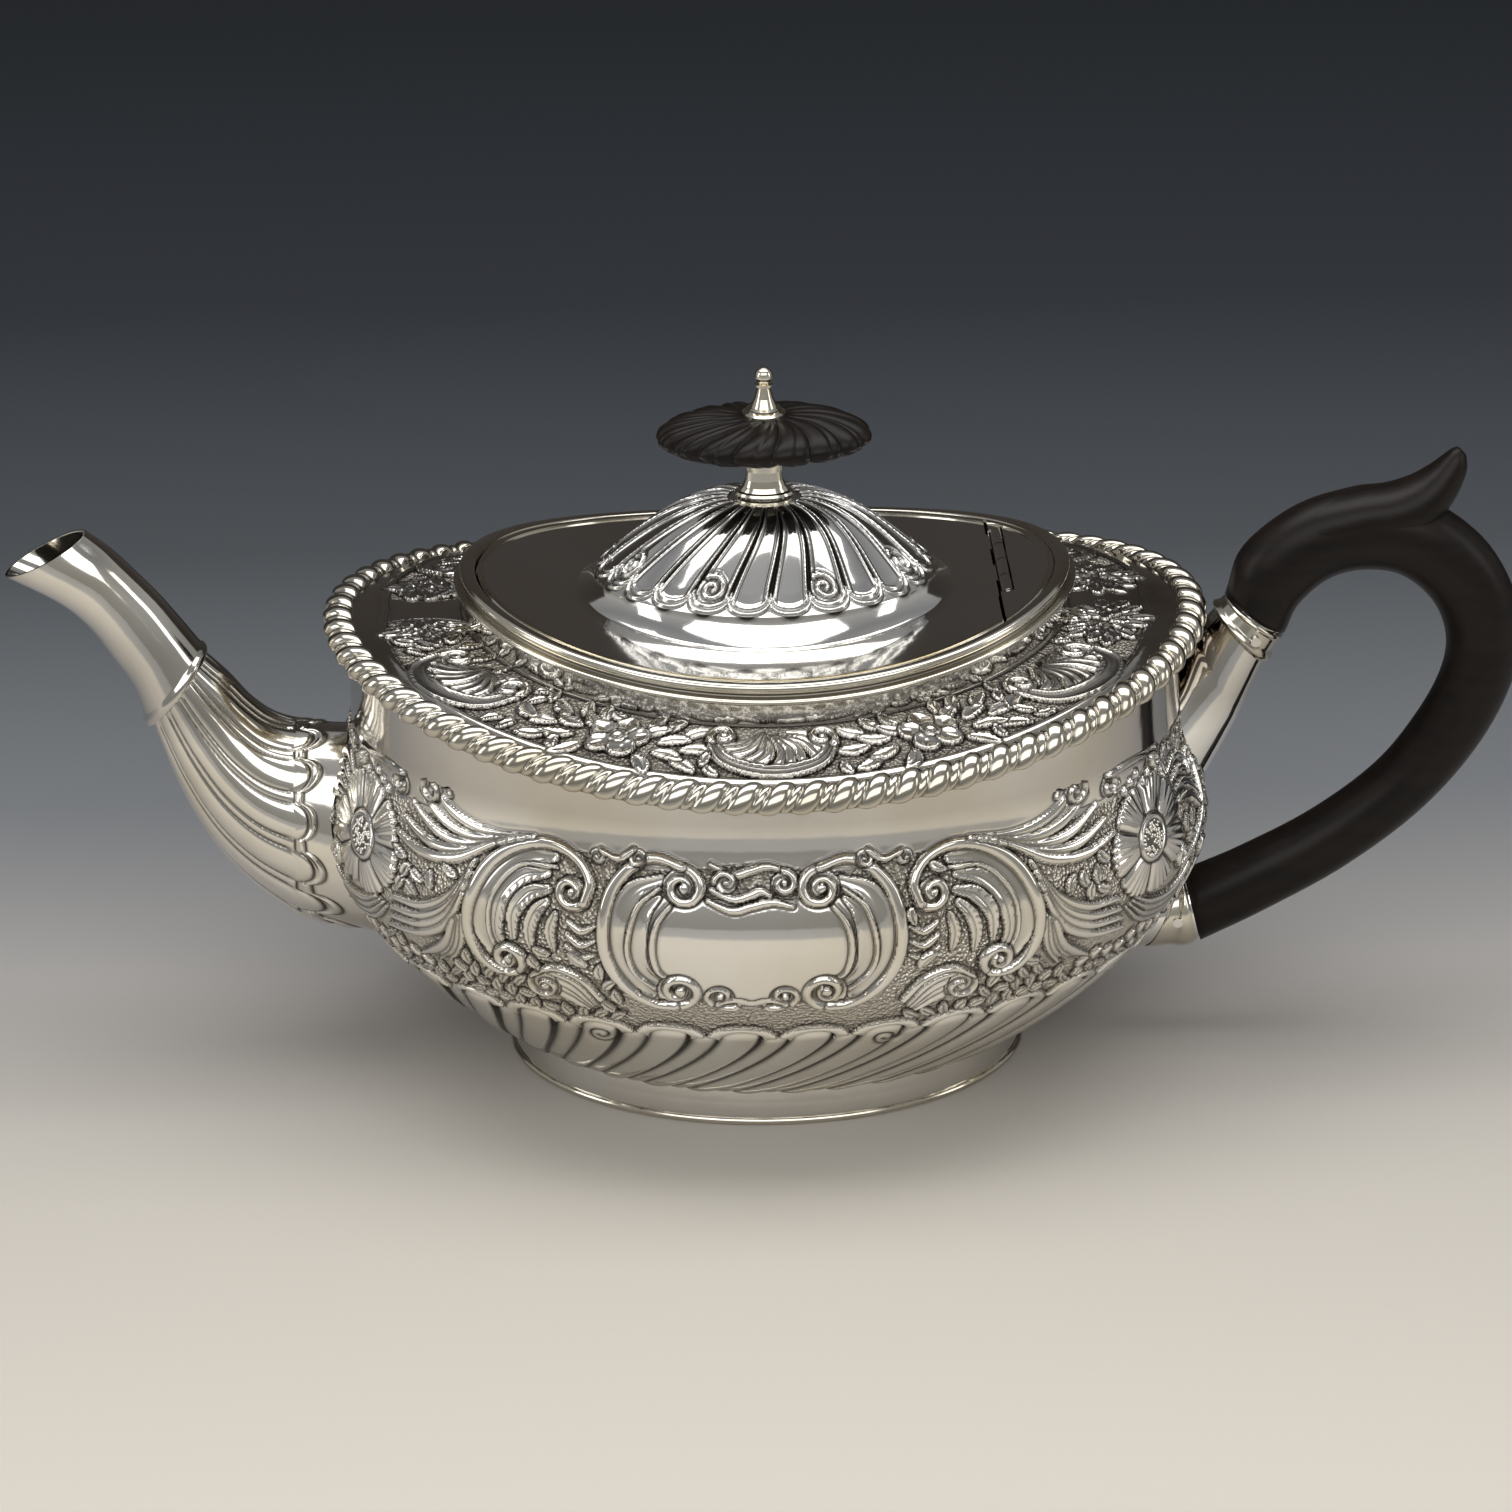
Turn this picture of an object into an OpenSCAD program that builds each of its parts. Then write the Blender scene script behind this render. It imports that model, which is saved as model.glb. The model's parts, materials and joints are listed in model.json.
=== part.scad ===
/* [Body] */
// Length of the body at its widest, the belly, measured along the spout and handle line
belly_len = 162.4; // [150:0.2:175]
// Width of every body section as a share of its length: the plan is an oval
plan_ratio = 0.78; // [0.72:0.01:0.9]
// Height of the belly line above the table
belly_z = 50; // [46:0.5:54]
// Length of the body where it meets the foot
base_len = 96; // [90:0.5:102]
// Length of the straight neck under the gadroon border
neck_len = 151; // [146:0.5:155]
// Height of the shoulder at the two ends, its highest line
crown_z = 87; // [84:0.5:90]
// Radius of the arch that carries the rim from the low front over to the low back
arch_r = 173; // [160:1:200]
// Thickness of the body, shoulder and collar sheet
sheet = 0.9; // [0.7:0.05:1.2]
// Diameter of each strainer hole behind the spout
strainer_hole = 2.2; // [1.6:0.1:2.6]
// Distance between strainer holes
strainer_pitch = 4.2; // [3.6:0.1:4.6]

/* [Foot] */
// Height of the foot ring
foot_h = 7; // [5:0.5:8]
// Length of the foot ring where it stands on the table
foot_len = 94.8; // [90:0.2:96]
// Thickness of the foot ring
foot_wall = 1.2; // [0.9:0.1:1.6]
// Height of the half-round wire along the bottom edge of the foot
foot_wire_h = 1.4; // [1:0.1:2]
// How far the foot wire stands out
foot_wire_t = 0.8; // [0.5:0.1:1.2]

/* [Border] */
// Length over the gadroon border, the widest line of the rim
border_len = 159.2; // [157:0.2:162]
// Length inside the gadroon border
border_inner_len = 147.2; // [142:0.2:148]
// Height of the gadroon border above the shoulder
border_rise = 1.4; // [0.8:0.1:2]
// Depth of the gadroon border below the shoulder
border_drop = 3.4; // [2.6:0.1:4]

/* [Collar] */
// Length over the collar wall that stands on the shoulder
collar_len = 108.6; // [106:0.2:110]
// Height of the middle of the lid plate above the highest line of the shoulder
plate_rise = 1.9; // [1:0.1:3]
// Radius of the saddle curve of the lid plate, high at both ends
saddle_r = 230; // [210:1:260]
// Length inside the moulded frame that the lid drops into
mouth_len = 104.4; // [103:0.1:105]
// Total depth of the frame moulding
frame_h = 3.2; // [2.8:0.1:3.6]
// How far the inner ledge under the lid stands inwards
ledge_w = 2.2; // [1.8:0.1:2.6]

/* [Lid] */
// Free gap round the lid inside its frame
lid_gap = 0.5; // [0.4:0.05:0.7]
// Thickness of the lid sheet
lid_sheet = 0.9; // [0.7:0.05:1.1]
// Length of the scalloped line at the foot of the dome
dome_len = 61.4; // [56:0.2:64]
// Height of the scalloped line above the middle of the plate
dome_step = 5.3; // [4.6:0.1:6.2]
// Height of the dome above the scalloped line
dome_rise = 13.4; // [12:0.1:15]
// Depth of the bezel under the lid
bezel_h = 4; // [3:0.1:5]
// Where the hinge line crosses the plate, from the middle of the pot
hinge_x = 43.35; // [42.5:0.05:44]
// Outer radius of the hinge knuckles
knuckle_r = 1.4; // [1.2:0.05:1.6]
// Number of knuckles, shared in turn between the fixed end plate and the lid
knuckle_count = 4; // [4:2:6]
// Overall length of the row of knuckles
hinge_len = 30; // [26:0.2:31]
// How far the row of knuckles stops short of the back corner of the end plate
row_end_gap = 1; // [0.8:0.1:2]
// Width of each hinge leaf
leaf_w = 4.6; // [4:0.1:5.2]
// Thickness of each hinge leaf
leaf_t = 0.8; // [0.6:0.05:1]
// How far the knuckles stand above the plate
knuckle_proud = 0.2; // [0.1:0.05:0.3]
// Width of the plain seam on either side of the knuckles
seam_w = 0.6; // [0.5:0.05:0.8]
// Radius of the hinge pin
pin_r = 0.6; // [0.5:0.05:0.7]

/* [Knob] */
// Width of the knob parts as a share of their length
knob_ratio = 0.66; // [0.6:0.01:0.8]
// Length of the ebony button
button_len = 37.8; // [34:0.2:40]
// Thickness of the ebony button
button_h = 7.2; // [6:0.1:8]
// Height of the silver stem from the dome to the button
stem_h = 8.6; // [7.5:0.1:10]
// Length of the flange at the foot of the stem
stem_flange_len = 10.8; // [9:0.1:12]
// Height of the finial above the button
finial_h = 8.9; // [8:0.1:10]
// Radius of the stud that clamps the knob through the lid
stud_r = 1.2; // [1:0.05:1.4]

/* [Spout and handle] */
// How far the spout stands out beyond the belly
spout_reach = 55.2; // [52:0.2:58]
// How far the handle stands out beyond the belly
handle_reach = 56.1; // [53:0.1:59]
// Thickness of the spout sheet
spout_wall = 0.9; // [0.7:0.05:1.1]
// Thickness of the handle sockets
socket_wall = 0.9; // [0.7:0.05:1.1]
// How far the moulded bands stand proud of the handle sockets
band_t = 0.9; // [0.5:0.1:1.2]
// Radius of the two pins through the handle
handle_pin_r = 0.9; // [0.7:0.05:1.1]
// Half thickness of the ebony handle from front to back at its top
grip_half = 6.6; // [6:0.1:7.2]

/* [Fits] */
// Free gap between the lid and anything fixed
run_gap = 0.3; // [0.25:0.05:0.4]
// How far the lid's edge stands back from the knuckles, so that its corners lift over the frame
corner_gap = 0.7; // [0.65:0.05:1]
// Radial play of a pin or stud in its hole
pin_fit = 0.05; // [0.02:0.01:0.08]
// Play between sheet parts that are soldered or pushed together
join_fit = 0.08; // [0.04:0.01:0.12]

/* [Hidden] */

$fn = 96;
eps = 0.01;
far = 400;
silver = [0.80, 0.80, 0.77];
worn_silver = [0.74, 0.71, 0.63];
ebony = [0.12, 0.10, 0.09];

belly_a = belly_len / 2;
base_a = base_len / 2;
neck_a = neck_len / 2;
foot_a = foot_len / 2;
border_a = border_len / 2;
border_in = border_inner_len / 2;
collar_a = collar_len / 2;
mouth_a = mouth_len / 2;
lid_a = mouth_a - lid_gap;
dome_a = dome_len / 2;
neck_z = crown_z - 19;
plate_z = crown_z + plate_rise;
flank_power = 0.88;
profile_steps = 18;

// ---- the body's side view -------------------------------------------------------------
// Half length of the body at height z: a full belly that tucks in to the neck
function body_a(z) =
    z <= belly_z
    ? base_a + (belly_a - base_a) * pow(sin(90 * max(z - foot_h, 0) / (belly_z - foot_h)), flank_power)
    : z >= neck_z
    ? neck_a
    : belly_a - (belly_a - neck_a) * (1 - cos(180 * (z - belly_z) / (neck_z - belly_z))) / 2;

// Where the body's skin lies at a given y and z, measured along x
function skin_x(y, z) = let (a = body_a(z)) a * sqrt(max(1 - pow(y / (plan_ratio * a), 2), 0));

function side_points(inset) = [
    for (i = [0:profile_steps])
        let (z = foot_h + (belly_z - foot_h) * pow(i / profile_steps, 1.35))
        [body_a(z) - inset, z],
    for (i = [1:profile_steps / 2])
        let (z = belly_z + (neck_z - belly_z) * i / (profile_steps / 2))
        [body_a(z) - inset, z]
];

// Four quarter turns of a side profile, each drawn in to the oval of the plan
module oval_turn(ratio) {
    for (q = [0:3])
        scale([1, ratio, 1]) rotate([0, 0, 90 * q]) rotate_extrude(angle = 90) children();
}

module oval_prism(half_len, low, high) {
    oval_turn(plan_ratio) translate([0, low]) square([half_len, high - low]);
}

module oval_band(outer, inner, low, high) {
    difference() {
        oval_prism(outer, low, high);
        oval_prism(inner, low - 1, high + 1);
    }
}

// Everything under the arch of the shoulder, moved up by lift
module under_arch(lift) {
    translate([-far / 2, 0, crown_z - arch_r + lift])
        rotate([0, 90, 0]) cylinder(r = arch_r, h = far, $fn = 180);
}

// Everything over the saddle of the lid plate, moved up by lift
module over_saddle(lift) {
    translate([0, far / 2, plate_z + saddle_r + lift])
        rotate([90, 0, 0]) cylinder(r = saddle_r, h = far, $fn = 180);
}

// A band that follows the saddle, from lift low to lift high
module saddle_band(outer, inner, low, high) {
    difference() {
        intersection() {
            oval_band(outer, inner, plate_z - 20, plate_z + 25);
            over_saddle(low);
        }
        over_saddle(high);
    }
}

module saddle_sheet(outer, low, high) {
    difference() {
        intersection() {
            oval_prism(outer, plate_z - 20, plate_z + 25);
            over_saddle(low);
        }
        over_saddle(high);
    }
}

// ---- lofted tubes ---------------------------------------------------------------------
// A rib is [x and z of one edge, x and z of the other edge, half depth in y]
loft_sides = 24;

function catmull(p0, p1, p2, p3, t) =
    0.5 * (2 * p1 + (p2 - p0) * t + (2 * p0 - 5 * p1 + 4 * p2 - p3) * t * t
    + (3 * p1 - p0 - 3 * p2 + p3) * t * t * t);

function rib_at(ribs, i, t) =
    catmull(ribs[max(i - 1, 0)], ribs[i], ribs[i + 1], ribs[min(i + 2, len(ribs) - 1)], t);

function smooth(ribs, steps) = [
    for (i = [0:len(ribs) - 2]) for (j = [0:steps - 1]) rib_at(ribs, i, j / steps),
    ribs[len(ribs) - 1]
];

// The closed ring of points on a rib, drawn in by inset
function ring(rib, inset) =
    let (cx = (rib[0] + rib[2]) / 2, cz = (rib[1] + rib[3]) / 2,
         hx = (rib[2] - rib[0]) / 2, hz = (rib[3] - rib[1]) / 2,
         shrink = 1 - inset / norm([hx, hz]))
    [for (k = [0:loft_sides - 1]) let (a = 360 * k / loft_sides)
        [cx + hx * shrink * cos(a), (rib[4] - inset) * sin(a), cz + hz * shrink * cos(a)]];

function rings(ribs, inset) = [for (r = ribs) ring(r, inset)];

// The same ring slid along x until it lies on the body's skin, on the side given by sign
function on_skin(pts, sign) = [for (p = pts) [sign * (skin_x(p[1], p[2]) + join_fit), p[1], p[2]]];

function flat(lists) = [for (l = lists) for (p = l) p];

function wall_faces(rows, first, turned) = [
    for (i = [0:rows - 2]) for (k = [0:loft_sides - 1])
        let (a = first + i * loft_sides + k, b = first + i * loft_sides + (k + 1) % loft_sides,
             c = b + loft_sides, d = a + loft_sides)
        for (f = turned ? [[a, c, b], [a, d, c]] : [[a, b, c], [a, c, d]]) f
];

function rim_faces(outer_row, inner_row, turned) = [
    for (k = [0:loft_sides - 1])
        let (m = (k + 1) % loft_sides, a = outer_row + k, b = outer_row + m, c = inner_row + m, d = inner_row + k)
        for (f = turned ? [[a, c, b], [a, d, c]] : [[a, b, c], [a, c, d]]) f
];

// A tube open at both ends. Its outer and inner rings come in equal numbers
module loft_tube(outer, inner, flip) {
    rows = len(outer);
    n = rows * loft_sides;
    polyhedron(points = concat(flat(outer), flat(inner)),
        faces = concat(wall_faces(rows, 0, flip), wall_faces(rows, n, !flip),
            rim_faces(0, n, !flip), rim_faces(n - loft_sides, 2 * n - loft_sides, flip)));
}

module loft_solid(rows_of_points, flip) {
    rows = len(rows_of_points);
    last = (rows - 1) * loft_sides;
    start_cap = [for (k = [0:loft_sides - 1]) flip ? k : loft_sides - 1 - k];
    end_cap = [for (k = [0:loft_sides - 1]) last + (flip ? loft_sides - 1 - k : k)];
    polyhedron(points = flat(rows_of_points),
        faces = concat(wall_faces(rows, 0, flip), [start_cap], [end_cap]));
}

// The ribs below are drawn for a spout that reaches 55.2 and a handle that reaches 56.1
spout_k = spout_reach / 55.2;
handle_k = handle_reach / 56.1;

// Rib from distances beyond the belly's end and above the belly line. Its sign is -1 on the
// spout's side and 1 on the handle's
function rib(sign, out1, up1, out2, up2, half) = let (k = sign < 0 ? spout_k : handle_k)
    [sign * (belly_a + out1 * k), belly_z + up1 * k, sign * (belly_a + out2 * k), belly_z + up2 * k, half];

// ---- foot and body --------------------------------------------------------------------
base_hole_a = base_a - 6;

module body_bowl() {
    color(silver)
    difference() {
        intersection() {
            oval_turn(plan_ratio) polygon(concat([[base_hole_a, foot_h]], side_points(0),
                [[neck_a, crown_z + 2], [neck_a - sheet, crown_z + 2]],
                [for (i = [len(side_points(0)) - 1:-1:1]) let (p = side_points(0)[i])
                    [p[0] - sheet * (p[1] < belly_z - 12 ? 1.25 : 1), max(p[1], foot_h + sheet)]],
                [[base_hole_a, foot_h + sheet]]));
            under_arch(-sheet);
        }
        strainer_holes();
    }
}

// Holes through the wall behind the spout, in rows that close up like a honeycomb
module strainer_holes() {
    rows = 5;
    for (r = [0:rows - 1]) {
        count = rows - abs(r - 2);
        for (k = [0:count - 1])
            translate([-belly_a - 5, (k - (count - 1) / 2) * strainer_pitch,
                belly_z - 6 + (r - 2) * strainer_pitch * sin(60)])
                rotate([0, 90, 0]) cylinder(d = strainer_hole, h = 20, $fn = 24);
    }
}

module base_plate() {
    color(silver)
    oval_prism(base_hole_a + 2.5, foot_h + sheet, foot_h + sheet + 1);
}

module foot_ring() {
    color(silver)
    oval_turn(plan_ratio) polygon([
        [foot_a - foot_wall, 0], [foot_a, 0], [foot_a, foot_wire_h + 0.4],
        [foot_a - 0.5, foot_h * 0.6], [foot_a - 1, foot_h], [foot_a - 1 - foot_wall, foot_h]]);
}

module foot_wire() {
    color(worn_silver)
    oval_turn(plan_ratio) polygon(concat([[foot_a, 0]],
        [for (t = [-90:22.5:90]) [foot_a + foot_wire_t * cos(t), foot_wire_h * (1 + sin(t)) / 2]],
        [[foot_a, foot_wire_h]]));
}

// ---- shoulder, border and collar ------------------------------------------------------
module shoulder() {
    color(silver)
    difference() {
        intersection() {
            oval_band(neck_a, collar_a - sheet - 0.6, crown_z - 20, crown_z + 2);
            under_arch(0);
        }
        under_arch(-sheet);
    }
}

module border_layer(outer, inner, low, high) {
    difference() {
        intersection() {
            oval_band(outer, inner, crown_z - 25, crown_z + 5);
            under_arch(high);
        }
        under_arch(low);
    }
}

module gadroon_border() {
    bead_t = border_drop - 1;
    color(worn_silver)
    difference() {
        union() {
            border_layer(border_a, neck_a - 1, -border_drop, -bead_t);
            border_layer(border_a - 0.4, border_in, -bead_t - eps, border_rise * 0.45);
            border_layer(border_a - 1.5, border_in + 0.9, -1, border_rise);
        }
        intersection() {
            oval_prism(neck_a + join_fit, crown_z - 30, crown_z + 2);
            under_arch(0);
        }
    }
}

module collar() {
    color(silver)
    difference() {
        oval_band(collar_a, collar_a - sheet, crown_z - 20, plate_z + 20);
        under_arch(0);
        over_saddle(-frame_h);
    }
}

// Two beads with a hollow between them, round the mouth of the pot
module lid_frame() {
    color(worn_silver)
    union() {
        saddle_band(mouth_a + 2.8, mouth_a, -frame_h * 0.45, 0.35);
        saddle_band(mouth_a + 2.0, mouth_a, -frame_h * 0.65, -frame_h * 0.45 + eps);
        saddle_band(mouth_a + 4.0, mouth_a, -frame_h, -frame_h * 0.65 + eps);
    }
}

hinge_end_x = hinge_x + 2.2;
corner_x = hinge_x - 5.6;

module lid_ledge() {
    color(silver)
    difference() {
        saddle_band(mouth_a - join_fit, mouth_a - ledge_w, -lid_sheet - run_gap - 1.3,
            -lid_sheet - run_gap);
        translate([corner_x - 1, -far / 2, plate_z - 10])
            cube([hinge_end_x - corner_x + 1, far, 30]);
    }
}

// ---- spout ----------------------------------------------------------------------------
spout_ribs = [
    rib(-1, -1, -27.4, -1, 14, 15.2 * spout_k),
    rib(-1, 4.8, -22.5, 4.3, 14.7, 14 * spout_k),
    rib(-1, 13.3, -15.6, 9, 16.7, 12.2 * spout_k),
    rib(-1, 20.3, -7.3, 12.8, 20.4, 10.4 * spout_k),
    rib(-1, 25.8, 3.3, 16.3, 24.8, 9 * spout_k),
    rib(-1, 30.4, 16.4, 20.3, 29, 8 * spout_k)
];
tube_ribs = [
    rib(-1, 31.4, 16, 19.9, 29.5, 8.6 * spout_k),
    rib(-1, 33.8, 24.2, 23.7, 34.8, 7.7 * spout_k),
    rib(-1, 37.1, 29.6, 27.7, 40.2, 7.1 * spout_k),
    rib(-1, 41.4, 36, 32.2, 45.4, 6.7 * spout_k),
    rib(-1, 46.6, 40.5, 36.2, 49.6, 6.6 * spout_k),
    rib(-1, 55.2, 45.3, 40.3, 53, 6.2 * spout_k)
];

// Lower half of the spout, with a spigot that the upper tube slides over
module spout_base() {
    steps = 3;
    skirt = smooth(spout_ribs, steps);
    above_root = [for (i = [1:len(skirt) - 1]) skirt[i]];
    spigot = [rib_at(tube_ribs, 0, 0), rib_at(tube_ribs, 0, 0.4)];
    root = ring(spout_ribs[0], 0);
    root_inner = ring(spout_ribs[0], spout_wall);
    spigot_in = spout_wall + join_fit;
    color(silver)
    loft_tube(
        concat([on_skin(root, -1)], rings(above_root, 0), rings(spigot, spigot_in)),
        concat([on_skin(root_inner, -1)], rings(above_root, spout_wall),
            rings(spigot, spigot_in + spout_wall)),
        false);
}

module spout_tube() {
    ribs = smooth(tube_ribs, 3);
    lifted = [for (i = [0:len(ribs) - 1]) i == 0 ? rib_at(tube_ribs, 0, 0.01) : ribs[i]];
    color(silver)
    loft_tube(rings(lifted, 0), rings(lifted, spout_wall), false);
}

// ---- handle and its sockets -----------------------------------------------------------
upper_ribs = [
    rib(1, 0, 2.6, 0, 23, 9.4 * handle_k),
    rib(1, 5.1, 13.2, -2.8, 28.8, 7.8 * handle_k),
    rib(1, 9.8, 24.6, 0.6, 34, 6.9 * handle_k),
    rib(1, 12.8, 30.4, 3.4, 36.8, 6.7 * handle_k)
];
lower_ribs = [
    rib(1, 0, -34, 0, -19.5, 6.8 * handle_k),
    rib(1, -0.4, -31.7, -3.6, -18.8, 6.4 * handle_k)
];
upper_pin_x = belly_a + 7.2 * handle_k;
upper_pin_z = belly_z + 30.9 * handle_k;
lower_pin_x = belly_a - 5.2 * handle_k;
lower_pin_z = belly_z - 25.6 * handle_k;

handle_ribs = [
    rib(1, 13.5, 30.2, 2.5, 37.5, grip_half * 0.97),
    rib(1, 15.8, 35.5, 5.4, 46.2, grip_half * 0.98),
    rib(1, 21, 40.3, 15.3, 54.2, grip_half),
    rib(1, 27.2, 41.9, 26.8, 57, grip_half),
    rib(1, 34, 40.7, 39.1, 54.4, grip_half * 0.98),
    rib(1, 40, 35.6, 49.8, 46.2, grip_half * 0.97),
    rib(1, 43, 28.5, 56, 34, grip_half * 0.95),
    rib(1, 42.4, 21, 56.1, 21.6, grip_half * 0.94),
    rib(1, 38.2, 12, 50.7, 8, grip_half * 0.92),
    rib(1, 31.1, 2.3, 40.7, -5.3, grip_half * 0.91),
    rib(1, 19.8, -6.8, 26.8, -17, grip_half * 0.91),
    rib(1, 6.8, -14, 11.8, -26, grip_half * 0.92),
    rib(1, -3.3, -18.5, -0.1, -32.1, grip_half * 0.94)
];
thumb_ribs = [
    rib(1, 28.5, 53, 41, 47, 5.6 * handle_k),
    rib(1, 32.3, 57.6, 43, 52, 5.2 * handle_k),
    rib(1, 37, 60.2, 44.2, 56.4, 4.2 * handle_k),
    rib(1, 40.2, 62.4, 44.6, 60, 2.9 * handle_k),
    rib(1, 42.2, 64.1, 43.9, 64.4, 1.1 * handle_k)
];

module pin_bore(x, z, r) {
    translate([x, 20, z]) rotate([90, 0, 0]) cylinder(r = r, h = 40, $fn = 32);
}

module upper_socket() {
    ribs = smooth(upper_ribs, 2);
    above_root = [for (i = [1:len(ribs) - 1]) ribs[i]];
    color(silver)
    difference() {
        loft_tube(
            concat([on_skin(ring(upper_ribs[0], 0), 1)], rings(above_root, 0)),
            concat([on_skin(ring(upper_ribs[0], socket_wall), 1)], rings(above_root, socket_wall)),
            true);
        pin_bore(upper_pin_x, upper_pin_z, handle_pin_r + pin_fit);
    }
}

module upper_socket_band() {
    ribs = [rib_at(upper_ribs, 2, 0), rib_at(upper_ribs, 2, 0.15), rib_at(upper_ribs, 2, 0.3),
        rib_at(upper_ribs, 2, 0.9), rib_at(upper_ribs, 2, 0.98)];
    bulge = [0.3, 1, 0.5, 0.5, 0.25];
    color(worn_silver)
    difference() {
        loft_tube([for (i = [0:len(ribs) - 1]) ring(ribs[i], -join_fit - band_t * bulge[i])],
            rings(ribs, -join_fit), true);
        pin_bore(upper_pin_x, upper_pin_z, handle_pin_r + pin_fit);
    }
}

// A ring part of the way from one ring to another
function between(from, to, t) = [for (k = [0:loft_sides - 1]) from[k] * (1 - t) + to[k] * t];

lower_root = on_skin(ring(lower_ribs[0], 0), 1);
lower_mouth = ring(lower_ribs[1], 0);

module lower_socket() {
    root_inner = on_skin(ring(lower_ribs[0], socket_wall), 1);
    mouth_inner = ring(lower_ribs[1], socket_wall);
    color(silver)
    difference() {
        loft_tube([lower_root, between(lower_root, lower_mouth, 0.5), lower_mouth],
            [root_inner, between(root_inner, mouth_inner, 0.5), mouth_inner], true);
        pin_bore(lower_pin_x, lower_pin_z, handle_pin_r + pin_fit);
    }
}

module lower_socket_band() {
    steps = [0.5, 0.62, 0.75, 0.85, 0.97];
    bulge = [0.25, 0.5, 0.5, 1, 0.3];
    root = on_skin(ring(lower_ribs[0], -join_fit), 1);
    mouth = ring(lower_ribs[1], -join_fit);
    color(worn_silver)
    difference() {
        loft_tube(
            [for (i = [0:len(steps) - 1]) between(on_skin(ring(lower_ribs[0], -join_fit - band_t * bulge[i]), 1),
                ring(lower_ribs[1], -join_fit - band_t * bulge[i]), steps[i])],
            [for (s = steps) between(root, mouth, s)], true);
        pin_bore(lower_pin_x, lower_pin_z, handle_pin_r + pin_fit);
    }
}

function swapped(r) = [r[2], r[3], r[0], r[1], r[4]];

// The ebony grip with a tenon at each end, and the thumb leaf on its shoulder
module handle() {
    tenon_in = socket_wall + join_fit;
    steps = 3;
    grip = smooth(handle_ribs, steps);
    low_root = ring(swapped(lower_ribs[0]), tenon_in);
    low_root_skin = on_skin(low_root, 1);
    low_mouth = ring(swapped(lower_ribs[1]), tenon_in);
    thumb = smooth(thumb_ribs, 2);
    color(ebony)
    difference() {
        union() {
            loft_solid(concat(
                rings([rib_at(upper_ribs, 1, 0.6), rib_at(upper_ribs, 2, 0), rib_at(upper_ribs, 2, 0.5),
                    rib_at(upper_ribs, 2, 1)], tenon_in),
                rings(grip, 0),
                [low_mouth, between(low_root_skin, low_mouth, 0.35)]), false);
            loft_solid(rings(thumb, 0), true);
        }
        pin_bore(upper_pin_x, upper_pin_z, handle_pin_r + pin_fit);
        pin_bore(lower_pin_x, lower_pin_z, handle_pin_r + pin_fit);
    }
}

module handle_pin(x, z, reach) {
    translate([x, reach, z]) rotate([90, 0, 0]) cylinder(r = handle_pin_r, h = reach * 2, $fn = 32);
}

module upper_handle_pin() {
    color(silver)
    handle_pin(upper_pin_x, upper_pin_z, upper_ribs[2][4] + join_fit + band_t + 0.1);
}

module lower_handle_pin() {
    color(silver)
    handle_pin(lower_pin_x, lower_pin_z, lower_ribs[0][4] + join_fit + band_t * 0.6);
}

// ---- hinge ----------------------------------------------------------------------------
function saddle_z(x) = plate_z + saddle_r - sqrt(saddle_r * saddle_r - x * x);

hinge_z = saddle_z(hinge_x) - knuckle_r + knuckle_proud;
hinge_back = plan_ratio * sqrt(mouth_a * mouth_a - pow(hinge_x + knuckle_r + run_gap, 2)) - row_end_gap;
hinge_front = hinge_back - hinge_len;
knuckle_pitch = hinge_len / knuckle_count;
lid_edge_x = hinge_x - knuckle_r - corner_gap;

module drum(r, from, to) {
    translate([hinge_x, to, hinge_z]) rotate([90, 0, 0]) cylinder(r = r, h = to - from, $fn = 48);
}

// Every second knuckle from first on, grown by extra in radius and by side at both ends
module knuckles(first, extra, side) {
    for (k = [first:2:knuckle_count - 1])
        drum(knuckle_r + extra, hinge_front + k * knuckle_pitch - side,
            hinge_front + (k + 1) * knuckle_pitch + side);
}

module pin_tunnel() {
    drum(pin_r + pin_fit, hinge_front - 3, hinge_back + 3);
}

module past_x(x) {
    translate([x, -far / 2, 0]) cube([far, far, far]);
}

module row_block(from_x, to_x) {
    translate([from_x, hinge_front + run_gap / 2, hinge_z - 10])
        cube([to_x - from_x, hinge_len - run_gap, 20]);
}

module end_plate() {
    color(silver)
    difference() {
        intersection() {
            saddle_sheet(mouth_a - join_fit, -lid_sheet, 0);
            past_x(lid_edge_x + seam_w);
        }
        knuckles(0, run_gap, run_gap / 2);
        knuckles(1, run_gap, run_gap / 2);
        row_block(lid_edge_x, hinge_x);
    }
}

module end_plate_wire() {
    color(worn_silver)
    intersection() {
        saddle_band(mouth_a - join_fit - 0.2, mouth_a - 1.2, 0, 0.35);
        past_x(lid_edge_x + seam_w);
    }
}

module hinge_leaf_fixed() {
    color(silver)
    difference() {
        union() {
            intersection() {
                saddle_sheet(mouth_a - 3, -lid_sheet - leaf_t, -lid_sheet);
                row_block(hinge_x + 0.4, hinge_x + 0.4 + leaf_w);
            }
            knuckles(0, 0, -run_gap / 2);
        }
        knuckles(1, run_gap, run_gap / 2);
        pin_tunnel();
    }
}

module hinge_leaf_lid() {
    color(silver)
    difference() {
        union() {
            intersection() {
                saddle_sheet(mouth_a - 3, -lid_sheet - leaf_t, -lid_sheet);
                row_block(hinge_x - 0.4 - leaf_w, hinge_x - 0.4);
            }
            knuckles(1, 0, -run_gap / 2);
        }
        knuckles(0, run_gap, run_gap / 2);
        pin_tunnel();
    }
}

module hinge_pin() {
    color(silver)
    drum(pin_r, hinge_front + 0.3, hinge_back - 0.3);
}

// ---- lid ------------------------------------------------------------------------------
scallop_z = plate_z + dome_step;
dome_z = scallop_z + dome_rise;
dome_flat = 5.6;
skirt_w = 3.6;
under_dome = dome_z - lid_sheet;

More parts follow.
